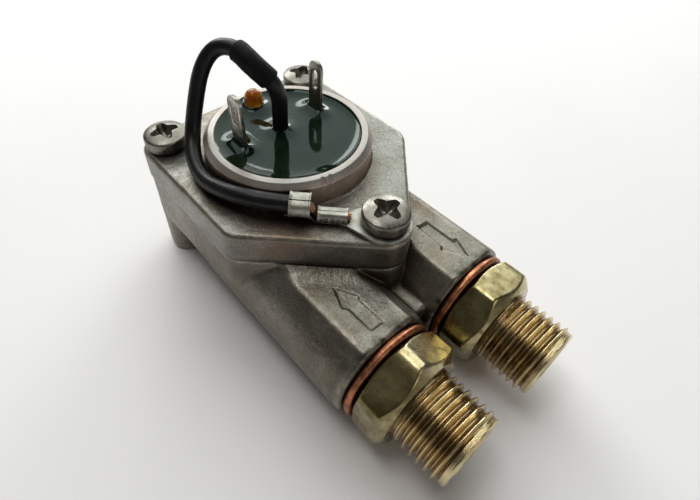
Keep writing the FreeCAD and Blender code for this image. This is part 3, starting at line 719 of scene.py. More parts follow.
def hex_brass(name, x):
    """Drawn bar brass of a hexagon: painted darker on its left as painted shade, with faint streaks, olive
    tarnish, and dirt with painted shade in its corners.
    """
    coat = Finish(name, (0.55, 0.46, 0.25), metal=1.0)
    streaks = coat.noise(0.3, 3.0, (1, 0.08, 1))
    tarnish = coat.noise(1.8, 6.0, seed=x + 0.2)
    patches = coat.span(coat.noise(4.5, 5.0, seed=x + 0.4), 0.41, 0.6)
    # The right side, towards the light, is painted lighter than the left: painted light and shade.
    lit_right_side = coat.mix(patches, (0.62, 0.54, 0.33), (0.47, 0.39, 0.2))
    coat.ground(patches, (0.4, 0.34, 0.18), (0.2, 0.158, 0.068))
    coat.lay(coat.span(coat.axis("X"), (x - 2.0) * MM, (x + 1.0) * MM), lit_right_side)
    coat.veil(streaks, 0.5, 0.75, 0.35, (0.33, 0.26, 0.11))
    coat.veil(tarnish, 0.5, 0.68, 0.7, (0.13, 0.112, 0.045))
    coat.veil(tarnish, 0.44, 0.3, 0.4, (0.5, 0.48, 0.3))
    coat.veil(coat.noise(0.6, 2.0, seed=x + 0.6), 0.71, 0.77, 1.0, (0.05, 0.04, 0.02))
    # Painted shade, with some dirt, in the corners.
    coat.lay(coat.hollow_shade(1.6), (0.1, 0.075, 0.03))
    coat.rough(tarnish, 0.35, 0.7, 0.18, 0.36)
    coat.bump(streaks, 0.01)
    coat.bump(coat.noise(0.7, 3.0, seed=x), 0.012)
    return coat.material


def metal_finish(name, bright, dull, rough, seed, dirt_and_shade=(0.08, 0.06, 0.045)):
    """Small plated or bare metal pieces with spots, handling marks, and dirt with painted shade in the
    recesses.
    """
    coat = Finish(name, bright, metal=1.0)
    marks = coat.noise(0.3, 4.0, (1, 0.25, 1), seed=seed)
    coat.ground(coat.span(coat.noise(1.4, 5.0, seed=seed), 0.38, 0.68), bright, dull)
    # Dark colour in recesses by ambient occlusion: dirt and painted shade.
    coat.lay(coat.hollow_shade(1.0), dirt_and_shade)
    coat.rough(marks, 0.3, 0.7, rough - 0.1, rough + 0.12)
    coat.bump(marks, 0.008)
    coat.bump(coat.noise(0.8, 2.0, seed=seed), 0.02)
    return coat.material


def plastic_finish(name, colour, other, rough, size, depth, gloss=0.5):
    """Moulded or drawn plastic and rubber with a fine uneven skin."""
    coat = Finish(name, colour, rough=rough)
    coat.set("Specular IOR Level", gloss)
    grain = coat.noise(size, 3.0)
    coat.ground(coat.span(coat.noise(size * 5, 4.0), 0.35, 0.65), colour, other)
    coat.rough(grain, 0.3, 0.7, rough - 0.07, rough + 0.1)
    coat.bump(grain, depth)
    return coat.material


def resin_finish():
    """Dark glossy potting resin, a little uneven, with dust and faint scratches."""
    coat = Finish("dark_resin", (0.005, 0.012, 0.006), rough=0.06)
    coat.set("Specular IOR Level", 0.235)
    coat.set("Specular Tint", (0.76, 1.0, 0.96))
    cloud = coat.noise(4.0, 3.0)
    dust = coat.noise(0.3, 4.0)
    scratches = coat.noise(0.5, 3.0, (0.3, 1, 1))
    coat.ground(coat.span(cloud, 0.4, 0.65), (0.003, 0.009, 0.004), (0.008, 0.018, 0.009))
    coat.veil(dust, 0.68, 0.76, 0.5, (0.2, 0.2, 0.18))
    coat.rough(scratches, 0.5, 0.75, 0.05, 0.16)
    coat.bump(coat.noise(1.6, 2.0), 0.004)
    return coat.material


def lamp_finish():
    """Clear amber epoxy, with a painted glow: lighter orange at the bottom and a deeper colour at the top.
    """
    coat = Finish("amber_epoxy", (0.85, 0.3, 0.01), rough=0.08)
    coat.set("Transmission Weight", 0.68)
    coat.set("Subsurface Weight", 0.8)
    coat.set("Subsurface Radius", (1.0, 0.4, 0.05))
    coat.set("Subsurface Scale", 2.0 * MM)
    coat.set("IOR", 1.45)
    # Lighter orange at the bottom going over to deeper orange at the top: a painted glow.
    rise = coat.span(coat.axis("Z"), (RESIN_TOP + 0.8) * MM, (LED_HIGH.z - 0.4) * MM)
    coat.ground(rise, (1.0, 0.4, 0.01), (0.9, 0.28, 0.005))
    coat.veil(coat.noise(0.7, 3.0), 0.5, 0.8, 0.4, (1.0, 0.4, 0.02))
    coat.bump(coat.noise(0.6, 2.0), 0.01)
    return coat.material


RESISTOR_BAND_HALF = 0.3
RESISTOR_BANDS = (
    (-1.9, (0.35, 0.12, 0.03)), (-0.9, (0.01, 0.01, 0.01)),
    (0.1, (0.5, 0.03, 0.02)), (1.6, (0.6, 0.42, 0.1)),
)


def resistor_finish():
    """Lacquered resistor body with four colour bands along X."""
    coat = Finish("banded_lacquer", (0.62, 0.5, 0.33), rough=0.35)
    along = coat.axis("X")
    coat.ground(coat.span(coat.noise(0.8), 0.4, 0.7), (0.62, 0.5, 0.33), (0.55, 0.43, 0.27))
    for middle, paint in RESISTOR_BANDS:
        offset = coat.math("ABSOLUTE", coat.math("SUBTRACT", along, middle * MM))
        coat.lay(coat.math("LESS_THAN", offset, RESISTOR_BAND_HALF * MM), paint)
    coat.bump(coat.noise(0.5), 0.02)
    return coat.material


CAST_BODY = cast_finish("plated_casting", 0.21, False)
CAST_COVER = cast_finish("plated_cover", 1.7, True)
TURNED = turned_finish()
COPPER = metal_finish(
    "annealed_copper", (0.6, 0.245, 0.125), (0.24, 0.095, 0.05), 0.42, 0.4, dirt_and_shade=(0.2, 0.08, 0.045),
)
STEEL = metal_finish("plated_steel", (0.225, 0.216, 0.193), (0.163, 0.15, 0.127), 0.34, 0.8)
TINNED = metal_finish("tinned_brass", (0.34, 0.34, 0.305), (0.25, 0.24, 0.2), 0.36, 1.1)
LUG_TIN = metal_finish("tinned_lug", (0.42, 0.42, 0.375), (0.3, 0.29, 0.25), 0.47, 1.1)
# Solder, painted lighter than the tinned tag to stand for light on its shaded face.
SOLDER_PAINTED_LIGHTER = metal_finish("solder_painted_lighter", (0.66, 0.65, 0.6), (0.42, 0.4, 0.35), 0.32, 1.9)
STRANDS = metal_finish("bare_strands", (0.78, 0.43, 0.27), (0.5, 0.24, 0.13), 0.33, 1.4)
RESIN = resin_finish()
LAMP = lamp_finish()
WIRE_BLACK = plastic_finish(
    "wire_insulation", (0.004, 0.004, 0.0045), (0.008, 0.008, 0.008), 0.36, 0.5, 0.012, gloss=0.3,
)
SLEEVE_BLACK = plastic_finish(
    "shrink_sleeve", (0.004, 0.004, 0.004), (0.007, 0.0065, 0.0065), 0.62, 0.35, 0.03, gloss=0.14,
)


# Casting
def shorten_arms(mesh):
    """Draws the ends of both arms in to where they are seen to end."""
    for vertex in mesh.vertices:
        reach = vertex.co.y / MM - BODY_LOW.y
        vertex.co.y += ARM_SHORTER * (1 - smooth_step(*ARM_DRAWN, reach)) * MM


def grown(path, out):
    """A closed path with every edge moved outward by a distance."""
    count = len(path)
    area = sum(a[0] * b[1] - b[0] * a[1] for a, b in zip(path, path[1:] + path[:1]))
    turn = math.copysign(1.0, area)
    moved = []
    for i in range(count):
        here = Vector(path[i])
        into = (here - Vector(path[i - 1])).normalized()
        away = (Vector(path[(i + 1) % count]) - here).normalized()
        first = Vector((into.y, -into.x)) * turn
        middle = (first + Vector((away.y, -away.x)) * turn).normalized()
        moved.append(here + middle * out / max(middle.dot(first), ARROW_MITRE))
    return moved


def sink_arrow(body, path, depth):
    """Sinks a flow arrow with soft walls into an arm's pad."""
    rows = []
    for out, up in [*((out, share * depth) for out, share in ARROW_WALL), *ARROW_MOUTH]:
        spots = grown(path, out)
        line = soften([(*spot, ARROW_CORNER) for spot in (spots[-1], *spots, spots[0])])
        rows.append([(p.x, p.y, ARROW_LEVEL + up) for p in line[1:-1]])
    carve(body, made("arrow_cutter", *skin(rows)), sharp=50)


def casting():
    """The body: its solid remeshed evenly and smoothed, so that edges and corners are cast round."""
    ob = linked("body_casting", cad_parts["meter_body"].data.copy())
    ob.data.materials.clear()
    put(ob.modifiers.new("weld", "WELD"), merge_threshold=CAST_WELD * MM)
    put(ob.modifiers.new("even", "REMESH"), mode="VOXEL", voxel_size=CAST_VOXEL * MM)
    put(ob.modifiers.new("ease", "SMOOTH"), factor=CAST_EASE, iterations=CAST_EASE_STEPS)
    fix(ob, sharp=80)
    shorten_arms(ob.data)
    mark_bends(ob.data)
    roughen(ob.data, 0.0)
    sink_arrow(ob, INLET_ARROW, INLET_ARROW_DEPTH)
    sink_arrow(ob, OUTLET_ARROW, OUTLET_ARROW_DEPTH)
    dress(ob, [CAST_BODY], "meter_body")


# Cover
def outline(inset):
    """The five-cornered outline of the cover, drawn in by inset, as points with round corners."""
    side = HALF_WIDTH - inset
    back = BACK - inset
    screw_round = SCREW_EDGE - inset
    nose = (NOSE_OFFSET - inset) / math.cos(NOSE_ANGLE)
    bend = QUARTER - NOSE_ANGLE
    shoulder = SIDE_ROUND * math.tan(bend / 2) - (nose - side * math.tan(NOSE_ANGLE))
    arcs = (
        (side - screw_round, back - screw_round, screw_round, 0.0, QUARTER),
        (screw_round - side, back - screw_round, screw_round, QUARTER, math.pi),
        (SIDE_ROUND - side, shoulder, SIDE_ROUND, math.pi, math.pi + bend),
        (0.0, screw_round / math.cos(NOSE_ANGLE) - nose, screw_round, math.pi + bend, TAU - bend),
        (side - SIDE_ROUND, shoulder, SIDE_ROUND, TAU - bend, TAU),
    )
    points = []
    for x, y, radius, start, end in arcs:
        for angle in even(start, end, ARC_STEPS):
            a, b = polar(radius, angle)
            points.append(Vector((x + a, y + b)))
    return points


def outline_row(inset):
    """The outline met by even rays from the turbine axis."""
    points = outline(inset)
    bearings = [math.atan2(p.y, p.x) % TAU for p in points]
    first = bearings.index(min(bearings))
    points = points[first:] + points[:first]
    bearings = bearings[first:] + bearings[:first]
    row = []
    k = 0
    for angle in turns(COVER_STEPS):
        while k < len(points) and bearings[k] <= angle:
            k += 1
        a = points[k - 1]
        edge = points[k % len(points)] - a
        ray = Vector((math.cos(angle), math.sin(angle)))
        reach = (a.x * edge.y - a.y * edge.x) / (ray.x * edge.y - ray.y * edge.x)
        row.append(ray * reach)
    return row


def level(row, z):
    """A flat row lifted to its height."""
    return [(p.x, p.y, z) for p in row]


def nicked(row):
    """A row of the ring, dented where it took two knocks on its chamfer."""
    dented = []
    for x, y, z in row:
        angle = math.atan2(y, x) % TAU
        gap = min(abs(angle - nick) for nick in NICKS)
        chamfer = smooth_step(*NICK_HEIGHTS, z) * smooth_step(*NICK_RADII, math.hypot(x, y))
        keep = 1 - NICK_DEPTH / RING_RADIUS * chamfer * (1 - smooth_step(*NICK_ANGLES, gap))
        dented.append((x * keep, y * keep, z))
    return dented


def cover():
    """The cover: cup, turned ring, plate with a round rim, and the spigot under it."""
    ring = soften([
        (0.0, RESIN_LOW.z, 0),
        (RING_BORE, RESIN_LOW.z, 0),
        (RING_BORE, RING_TOP, RING_LIP),
        (RING_RADIUS - RING_CHAMFER, RING_TOP, RING_CREST),
        (RING_RADIUS, RING_TOP - RING_CHAMFER, RING_LIP),
        (RING_RADIUS, COVER_TOP, RING_FILLET),
        (PLATE_START, COVER_TOP, 0),
    ])
    rows = [nicked(circle_row(r, 0, 0, z, COVER_STEPS)) for r, z in ring]
    foot = [Vector(polar(PLATE_START, angle)) for angle in turns(COVER_STEPS)]
    rim = outline_row(COVER_ROUND)
    for share in PLATE_SHARES:
        rows.append(level([a.lerp(b, share) for a, b in zip(foot, rim)], COVER_TOP))
    for angle in even(0.0, QUARTER, COVER_ROUND_STEPS)[1:]:
        inset = COVER_ROUND * (1 - math.sin(angle))
        rows.append(level(outline_row(inset), COVER_TOP - COVER_ROUND * (1 - math.cos(angle))))
    side = outline_row(0.0)
    top = COVER_TOP - COVER_ROUND
    for share in SIDE_SHARES:
        rows.append(level(side, top + (COVER_FOOT - top) * share))
    rows.append(level(outline_row(COVER_FOOT_INSET), COVER_FOOT))
    spigot = soften([
        (SPIGOT_RADIUS, COVER_FOOT, 0),
        (SPIGOT_RADIUS, COVER_LOW.z, SPIGOT_EDGE),
        (JEWEL_RADIUS, COVER_LOW.z, 0),
        (JEWEL_RADIUS, JEWEL_TOP, 0),
        (0.0, JEWEL_TOP, 0),
    ])
    rows += [circle_row(r, 0, 0, z, COVER_STEPS) for r, z in spigot]
    ob = made("cover_plate", *skin(rows), sharp=50)
    roughen(ob.data, RING_RADIUS + RING_FILLET)
    dress(ob, [CAST_COVER, TURNED], "sensor_cover")
    for face in ob.data.polygons:
        if face.center.xy.length / MM < TURNED_REACH and face.center.z / MM > TURNED_FOOT:
            face.material_index = 1


# Screws
def cross_cutter(x, y, top, turn):
    """The cross recess of a screw: four wings that narrow outwards and downwards."""
    rows = []
    for up, length, width in CROSS_ROWS:
        reach, narrowed = CROSS_SHOULDER
        edge = [(width * CROSS_ROOT, 1.0), (length * reach, narrowed), (length, CROSS_TIP)]
        wing = [(u, -v) for u, v in edge] + edge[::-1]
        row = []
        for quarter in range(4):
            along = Vector(polar(1.0, turn + quarter * QUARTER))
            across = Vector((-along.y, along.x))
            for u, v in wing:
                spot = along * u + across * v * width
                row.append((x + spot.x, y + spot.y, top + up))
        rows.append(row)
    return made("cutter", *skin(rows))


def screw(name, x, y, seat, turn):
    """A pan head screw with a cross recess."""
    top = seat + HEAD_HEIGHT
    crown = HEAD_HEIGHT - HEAD_RIM
    dome = (HEAD_RADIUS ** 2 + crown ** 2) / (2 * crown)
    arch = [(r, top - dome + math.sqrt(dome ** 2 - r ** 2)) for r in DOME_RADII]
    rim = soften([
        (*arch.pop(), 0),
        (HEAD_RADIUS, seat + HEAD_RIM, 0.6),
        (HEAD_RADIUS, seat, 0.2),
        (SHANK_RADIUS, seat, 0),
        (SHANK_RADIUS, SCREW_TIP, 0.4),
        (0.0, SCREW_TIP, 0),
    ])
    ob = made(name, *lathe([*arch, *rim], x, y, HEAD_STEPS))
    carve(ob, cross_cutter(x, y, top, turn), sharp=35)
    dress(ob, [STEEL], "cover_screws")


def spring_washer(name, x, y, seat):
    """A split spring washer, its cut ends standing a little apart."""
    section = (
        (SPRING_BORE, 0.0),
        (SPRING_RADIUS - SPRING_CHAMFER, 0.0),
        (SPRING_RADIUS, SPRING_CHAMFER),
        (SPRING_RADIUS, SPRING_THICKNESS - SPRING_CHAMFER),
        (SPRING_RADIUS - SPRING_CHAMFER, SPRING_THICKNESS),
        (SPRING_BORE, SPRING_THICKNESS),
    )
    rows = []
    for i in range(SPRING_STEPS + 1):
        cos, sin = polar(1.0, SPRING_GAP / 2 + (TAU - SPRING_GAP) * i / SPRING_STEPS)
        foot = seat + SPRING_LIFT * (i / SPRING_STEPS - 0.5)
        rows.append([(x + r * cos, y + r * sin, foot + z) for r, z in section])
    dress(made(name, *skin(rows)), [STEEL], "lock_washers")


# Fittings
def port_point(x, y, reach, angle):
    """A point about a port's axis, which runs along Y."""
    a, b = polar(reach, angle)
    return x + a, y, PORT_Z + b


def hex_reach(angle, back, front):
    """Reach of the hexagon at an angle from a corner, chamfered at its back and front faces."""
    flat = HEX_FLATS / 2
    offset = angle % (math.pi / 3) - math.pi / 6
    corner = flat / math.cos(math.pi / 6) * HEX_CORNER
    rear = flat * HEX_BACK + HEX_BACK_SLOPE * back
    cone = flat * HEX_FRONT + HEX_FRONT_SLOPE * front
    limits = (flat / math.cos(offset), corner, rear, cone)
    least = min(limits)
    return least - HEX_SOFT * math.log(sum(math.exp((least - limit) / HEX_SOFT) for limit in limits))


def thread_reach(turn, distance, length):
    """Reach of the thread at a share of its turn, with a run-out at the hexagon and a plain tip."""
    crest = min(max(THREAD_FLANK * abs(2 * turn - 1) - THREAD_ROOT, 0.0), 1.0)
    depth = THREAD_DEPTH * smooth_step(THREAD_START, THREAD_FULL, distance) * (1 - crest)
    neck = THREAD_NECK * (1 - smooth_step(THREAD_START, THREAD_NECK_END, distance))
    tip = length - THREAD_TIP
    cut = THREAD_RADIUS - max(depth, neck)
    return cut + (THREAD_RADIUS - THREAD_TIP_STEP - cut) * smooth_step(tip - THREAD_TIP_RUN, tip, distance)


def fitting(side, x, hex_turn):
    """A hexagon nipple with its pipe thread, bored through."""
    low, high = corners(side + "_fitting")
    washer_end = corners(side + "_washer")[0].y + ARM_SHORTER
    hex_end = washer_end - HEX_LENGTH
    length = hex_end - low.y
    angles = turns(FITTING_STEPS)

    def spot(angle, y, reach):
        return port_point(x, y, reach, angle + hex_turn)

    def plain(y, reach):
        return [spot(angle, y, reach) for angle in angles]

    rows = [
        plain(high.y, FITTING_BORE),
        plain(high.y, THREAD_RADIUS - FITTING_CHAMFER),
        plain(high.y - FITTING_CHAMFER, THREAD_RADIUS),
        plain(washer_end, THREAD_RADIUS),
    ]
    backs = [i * HEX_ROW for i in range(HEX_BACK_ROWS)]
    backs += [HEX_LENGTH - i * HEX_ROW for i in range(HEX_FRONT_ROWS, -1, -1)]
    for back in backs:
        rows.append([spot(a, washer_end - back, hex_reach(a, back, HEX_LENGTH - back)) for a in angles])
    rows.append(plain(hex_end, THREAD_RADIUS))
    first = len(rows)
    join = list(range(first))
    step = THREAD_PITCH / THREAD_ROWS
    for k in range(int(length / step) + THREAD_ROWS + 2):
        row = []
        for j, angle in enumerate(angles):
            distance = min(max(k * step - THREAD_PITCH * j / FITTING_STEPS, 0.0), length)
            reach = thread_reach(k / THREAD_ROWS % 1.0, distance, length)
            cone = THREAD_RADIUS - THREAD_TIP_CHAMFER + length - distance
            row.append(spot(angle, hex_end - distance, min(reach, cone)))
        rows.append(row)
        join.append(first + max(k - THREAD_ROWS, 0))
    join += [len(rows), len(rows) + 1]
    rows += [plain(low.y, FITTING_BORE + BORE_CHAMFER), plain(low.y + BORE_CHAMFER, FITTING_BORE)]
    ob = made(side + "_nipple", *skin(rows, ring=True, join=join), sharp=25)
    brass = [thread_brass(side + "_brass", x), hex_brass(side + "_hex_brass", x)]
    dress(ob, brass, side + "_fitting")
    for face in ob.data.polygons:
        if hex_end - 0.01 < face.center.y / MM < washer_end:
            face.material_index = 1


def copper_washer(side, x):
    """A sealing washer, squeezed to a round and slightly wavy rim."""
    low, high = corners(side + "_washer")
    front = low.y + ARM_SHORTER
    back = high.y + ARM_SHORTER
    outer = (high.x - low.x) / 2
    inner = THREAD_RADIUS + WASHER_GAP
    profile = soften([
        (inner, back, 0),
        (outer - 1.1, back, 0.3),
        (outer - 0.4, back - 0.16, 0.3),
        (outer, (front + back) / 2 - 0.12, 0.35),
        (outer - 0.3, front + 0.12, 0.25),
        (outer - 1.1, front, 0.3),
        (inner, front, 0),
    ])
    rows = []
    for r, y in profile:
        row = []
        for angle in turns(WASHER_STEPS):
            a, b = polar(WASHER_WAVE_RATE, angle)
            swell = WASHER_WAVE * noise.noise(Vector((a + x, b, y * 0.4))) - WASHER_SHRINK
            row.append(port_point(x, y, r + swell * smooth_step(inner, outer, r), angle))
        rows.append(row)
    ob = made(side + "_copper_ring", *skin(rows, ring=True), sharp=60)
    dress(ob, [COPPER], side + "_washer")


# Sensor cup
def capsule(half, low, high, steps=14):
    """A closed upright outline with round ends."""
    arch = [polar(half, angle) for angle in even(0.0, math.pi, steps)]
    return [(a, high + b) for a, b in arch] + [(-a, low - b) for a, b in arch]


def sheet_piece(name, loops, half_thickness, rounding):
    """A sheet cut to flat outlines, holes among them, with rounded edges, lying in X and Y."""
    curve = put(
        bpy.data.curves.new(name, "CURVE"), dimensions="2D", fill_mode="BOTH", bevel_resolution=3,
        extrude=(half_thickness - rounding) * MM, bevel_depth=rounding * MM, offset=-rounding * MM,
    )
    for loop in loops:
        spline = curve.splines.new("POLY")
        spline.points.add(len(loop) - 1)
        for point, (a, b) in zip(spline.points, loop):
            point.co = (a * MM, b * MM, 0, 1)
        spline.use_cyclic_u = True
    ob = linked(name, curve)
    mesh = worked_out(ob)
    bpy.data.objects.remove(ob)
    settle(mesh, 40)
    return linked(name, mesh)


def tag(side, lean, twist, filled):
    """A solder tag: a flat blade bent a little out of true, its long eye open or filled with solder."""
    low, high = corners(side + "_terminal")
    middle = (low + high) / 2
    half = (high.y - low.y) / 2
    slot_high = high.z - TAG_SLOT_TOP - TAG_SLOT_HALF
    slot_low = slot_high - TAG_SLOT_LENGTH
    blade = capsule(half, RESIN_TOP - TAG_FOOT * half, high.z - half)
    eye = capsule(TAG_SLOT_HALF, slot_low, slot_high)
    pieces = [sheet_piece(side + "_tag", [blade, eye], (high.x - low.x) / 2, TAG_ROUND)]
    if filled:
        plug = capsule(TAG_SLOT_HALF + SOLDER_OVERLAP, slot_low, slot_high)
        pieces.append(sheet_piece(side + "_solder", [plug], TAG_SOLDER / 2, TAG_ROUND / 2))
    stand = Matrix(((0, 0, 1), (1, 0, 0), (0, 1, 0))).to_4x4()
    foot = Vector((0, 0, RESIN_TOP * MM))
    bend = Matrix.Rotation(lean, 4, "Y") @ Matrix.Rotation(twist, 4, "Z")
    place = Matrix.Translation(Vector((middle.x, middle.y, 0)) * MM)
    for ob in pieces:
        ob.data.transform(place @ Matrix.Translation(foot) @ bend @ Matrix.Translation(-foot) @ stand)
        # The filled tag takes solder painted lighter, standing for light on its shaded face.
        dress(ob, [SOLDER_PAINTED_LIGHTER if filled else TINNED], side + "_terminal")


def lamp():
    """The indicator lamp: flange, barrel and dome."""
    flange = LED_HIGH.x
    arch = []
    for angle in even(0.0, QUARTER, LAMP_DOME_STEPS):
        up, out = polar(LAMP_RADIUS, angle)
        arch.append((out, LED_HIGH.z - LAMP_RADIUS + up))
    foot = soften([
        (LAMP_RADIUS, RESIN_TOP + 0.25, 0),
        (flange, RESIN_TOP + 0.2, 0.1),
        (flange, LED_LOW.z, 0),
        (0.0, LED_LOW.z, 0),
    ])
    ob = made("amber_lamp", *lathe([*arch, *foot], 0.0, LED_Y, LAMP_STEPS))
    dress(ob, [LAMP], "indicator_led")


def resin_feet():
    """What stands in the resin: middle, half length along Y, half width, and how far it is climbed."""
    wire_x, wire_y = WIRE_ROUTE[1][:2]
    feet = [(wire_x, wire_y, 0.0, WIRE_RADIUS, WIRE_RISE), (0.0, LED_Y, 0.0, LED_HIGH.x, LAMP_RISE)]
    for node in ("left_terminal", "right_terminal"):
        low, high = corners(node)
        middle = (low + high) / 2
        half = (high.x - low.x) / 2
        feet.append((middle.x, middle.y, (high.y - low.y) / 2 - half, half, TAG_RISE))
    return feet


def resin_height(x, y, feet):
    """Height of the resin: flat, climbing the ring and mounded round everything that stands in it."""
    turn = math.atan2(y, x)
    reach = CLIMB_REACH + CLIMB_SIDES[0] * math.cos(turn) + CLIMB_SIDES[1] * math.sin(turn)
    lift = RESIN_CLIMB * math.exp((math.hypot(x, y) - RING_BORE) / reach)
    for foot_x, foot_y, half, radius, rise in feet:
        along = max(abs(y - foot_y) - half, 0.0)
        gap = max(math.hypot(x - foot_x, along) - radius, 0.0)
        mound = MOUND_SHARE * math.exp(-((gap / MOUND_REACH) ** 2))
        lift += rise * (mound + (1 - MOUND_SHARE) * math.exp(-gap / MENISCUS_REACH))
    wave = noise.noise(Vector((x * RESIN_WAVE_RATE, y * RESIN_WAVE_RATE, 0.5)))
    return RESIN_TOP + RESIN_PROUD + RESIN_WAVE * wave + lift


def resin():
    """The potting resin filling the cup, its surface drawn up at every edge."""
    feet = resin_feet()
    rows = [circle_row(radius, 0, 0, RESIN_LOW.z, RESIN_STEPS) for radius in (0.0, RESIN_EDGE)]
    for i in range(RESIN_RINGS + 1):
        circle = circle_row(RESIN_EDGE * (1 - i / RESIN_RINGS), 0, 0, 0, RESIN_STEPS)
        rows.append([(x, y, resin_height(x, y, feet)) for x, y, _ in circle])
    dress(made("resin_fill", *skin(rows), sharp=60), [RESIN], "potting_resin")


# Earth wire with its sleeve and lug
def wire_curve(name, bevel):
    """The wire's route as one smooth spline."""
    curve = put(
        bpy.data.curves.new(name, "CURVE"), dimensions="3D", bevel_depth=bevel * MM, bevel_resolution=6,
        use_fill_caps=bevel > 0,
    )
    spline = curve.splines.new("NURBS")
    spline.points.add(len(WIRE_ROUTE) - 1)
    for point, place in zip(spline.points, WIRE_ROUTE):
        point.co = (*(Vector(place) * MM), 1)
    put(spline, order_u=3, use_endpoint_u=True, resolution_u=12)
    return linked(name, curve)


def wire_line():
    """Points along the middle of the wire, in millimetres, with their distances from its start."""
    ob = wire_curve("wire_line", 0.0)
    points = [vertex.co / MM for vertex in worked_out(ob).vertices]
    bpy.data.objects.remove(ob)
    distances = [0.0]
    for a, b in zip(points, points[1:]):
        distances.append(distances[-1] + (b - a).length)
    return points, distances


def sleeve():
    """The shrink sleeve on the arch: a close tube with clean cut ends and faint wrinkles."""
    points, distances = wire_line()
    stations = [(SLEEVE_START, SLEEVE_BORE), (SLEEVE_START, SLEEVE_RADIUS - SLEEVE_EDGE)]
    for distance in even(SLEEVE_START + SLEEVE_EDGE, SLEEVE_END - SLEEVE_EDGE, SLEEVE_STEPS):
        stations.append((distance, SLEEVE_RADIUS))
    stations += [(SLEEVE_END, SLEEVE_RADIUS - SLEEVE_EDGE), (SLEEVE_END, SLEEVE_BORE)]
    rows = []
    side = Vector((1, 0, 0))
    for distance, reach in stations:
        k = max(i for i, passed in enumerate(distances) if passed <= distance)
        tangent = (points[k + 1] - points[k]).normalized()
        here = points[k] + tangent * (distance - distances[k])
        side = (side - tangent * side.dot(tangent)).normalized()
        other = tangent.cross(side)
        row = []
        for angle in turns(SLEEVE_STEPS):
            cos, sin = polar(1.0, angle)
            wrinkle = SLEEVE_WRINKLE * noise.noise(Vector((cos, sin, distance * SLEEVE_WRINKLE_RATE)))
            row.append(here + (side * cos + other * sin) * (reach + wrinkle))
        rows.append(row)
    return dress(made("arch_sleeve", *skin(rows), sharp=50), [SLEEVE_BLACK], "wire_sleeve")


def earth_wire():
    """The insulated wire, a cord from the board over the ring to the lug."""
    ob = dress(wire_curve("earth_lead", WIRE_RADIUS), [WIRE_BLACK], "earth_wire")
    sleeve()


def lug_axis(along):
    """Height of the lug's axis over the cover: low in the barrel, higher in the grip on the insulation."""
    return BARREL_AXIS + (GRIP_AXIS - BARREL_AXIS) * smooth_step(*LUG_BEND, along)


def lug_plate():
    """The flat of the lug: ring under the screw and the neck that runs under the barrel."""
    neck_reach = math.hypot(LUG_NECK_END, LUG_NECK_HALF)
    turn = math.acos(LUG_RING / neck_reach) + math.atan2(LUG_NECK_HALF, LUG_NECK_END)
    ring = [polar(LUG_RING, angle) for angle in even(turn, TAU - turn, LUG_STEPS)]
    neck = [
        (LUG_NECK_END, -LUG_NECK_HALF),
        (LUG_PLATE_END, -LUG_STRIP_HALF),
        (LUG_PLATE_END, LUG_STRIP_HALF),
        (LUG_NECK_END, LUG_NECK_HALF),
    ]
    hole = [polar(LUG_HOLE, angle) for angle in turns(LUG_STEPS)]
    ob = sheet_piece("lug_plate", [ring + neck, hole], LUG_THICKNESS / 2, LUG_EDGE)
    middle = lug_point(0.0, up=LUG_THICKNESS / 2) * MM
    ob.data.transform(Matrix.Translation(middle) @ Matrix.Rotation(LUG_DIRECTION, 4, "Z"))
    dress(ob, [LUG_TIN], "ring_terminal")


def lug_tongue():
    """The strip that joins barrel and grip, bent up between them, with a short tail."""
    half = LUG_STRIP_HALF
    inset = half - LUG_EDGE
    upper = LUG_SHEET - LUG_EDGE
    section = (
        (-half, LUG_EDGE), (-inset, 0.0), (inset, 0.0), (half, LUG_EDGE),
        (half, upper), (inset, LUG_SHEET), (-inset, LUG_SHEET), (-half, upper),
    )
    rows = []
    for along in even(LUG_NECK_END, LUG_TAIL, LUG_STEPS):
        foot = TONGUE_RISE * smooth_step(*LUG_BEND, along)
        rows.append([lug_point(along, across, foot + up) for across, up in section])
    dress(made("lug_tongue", *skin(rows), sharp=45), [LUG_TIN], "ring_terminal")


def crimp(name, reach, radius, roll, ribs):
    """A crimp closed round the lug's axis, its two wings curled into a seam."""
    start, end = reach
    axis = lug_axis((start + end) / 2)
    rows = []
    for i in range(CRIMP_STEPS + 1):
        along = start + (end - start) * i / CRIMP_STEPS
        edge = min(along - start, end - along)
        mouth = CRIMP_FLARE * (1 - smooth_step(0.0, CRIMP_FLARE_END, edge))
        rib = 0.5 - 0.5 * math.cos(TAU * ribs * i / CRIMP_STEPS)
        groove = CRIMP_RIB * rib * smooth_step(*CRIMP_RIB_START, edge)
        row = []
        for depth, order in ((0.0, 1), (LUG_SHEET, -1)):
            for j in range(-CRIMP_SIDE_STEPS, CRIMP_SIDE_STEPS + 1)[::order]:
                share = abs(j) / CRIMP_SIDE_STEPS
                angle = j / CRIMP_SIDE_STEPS * (math.pi - CRIMP_SEAM) + roll
                dip = CRIMP_DIP * smooth_step(CRIMP_DIP_START, 1.0, share)
                flank = smooth_step(*CRIMP_FLANK_START, share) * (1 - smooth_step(*CRIMP_FLANK_END, share))
                down, across = polar(radius + mouth - depth - dip - groove * flank, angle)
                row.append(lug_point(along, across, axis - down))
        rows.append(row)
    dress(made(name, *skin(rows), sharp=45), [LUG_TIN], "ring_terminal")


def strands():
    """The bared strands, laid in a twist through the barrel, their ends standing out of its mouth."""
    points = []
    faces = []
    section = [polar(STRAND_RADIUS, angle) for angle in turns(STRAND_SIDES)]
    for reach, count in STRAND_LAYERS:
        for k in range(count):
            rows = []
            front = STRAND_START + STRAND_UNEVEN * noise.noise(Vector((k * 1.7, reach * 9, 0.3)))
            for i in range(STRAND_STEPS + 1):
                share = i / STRAND_STEPS
                along = front + (STRAND_END - front) * share
                across, up = polar(reach, TAU * k / count + STRAND_TWIST * share)
                up += lug_axis(along)
                rows.append([lug_point(along, across + a, up + b) for a, b in section])
            new_points, new_faces = skin(rows)
            faces += [tuple(index + len(points) for index in face) for face in new_faces]
            points += new_points
    dress(made("copper_strands", points, faces), [STRANDS], "wire_strands")


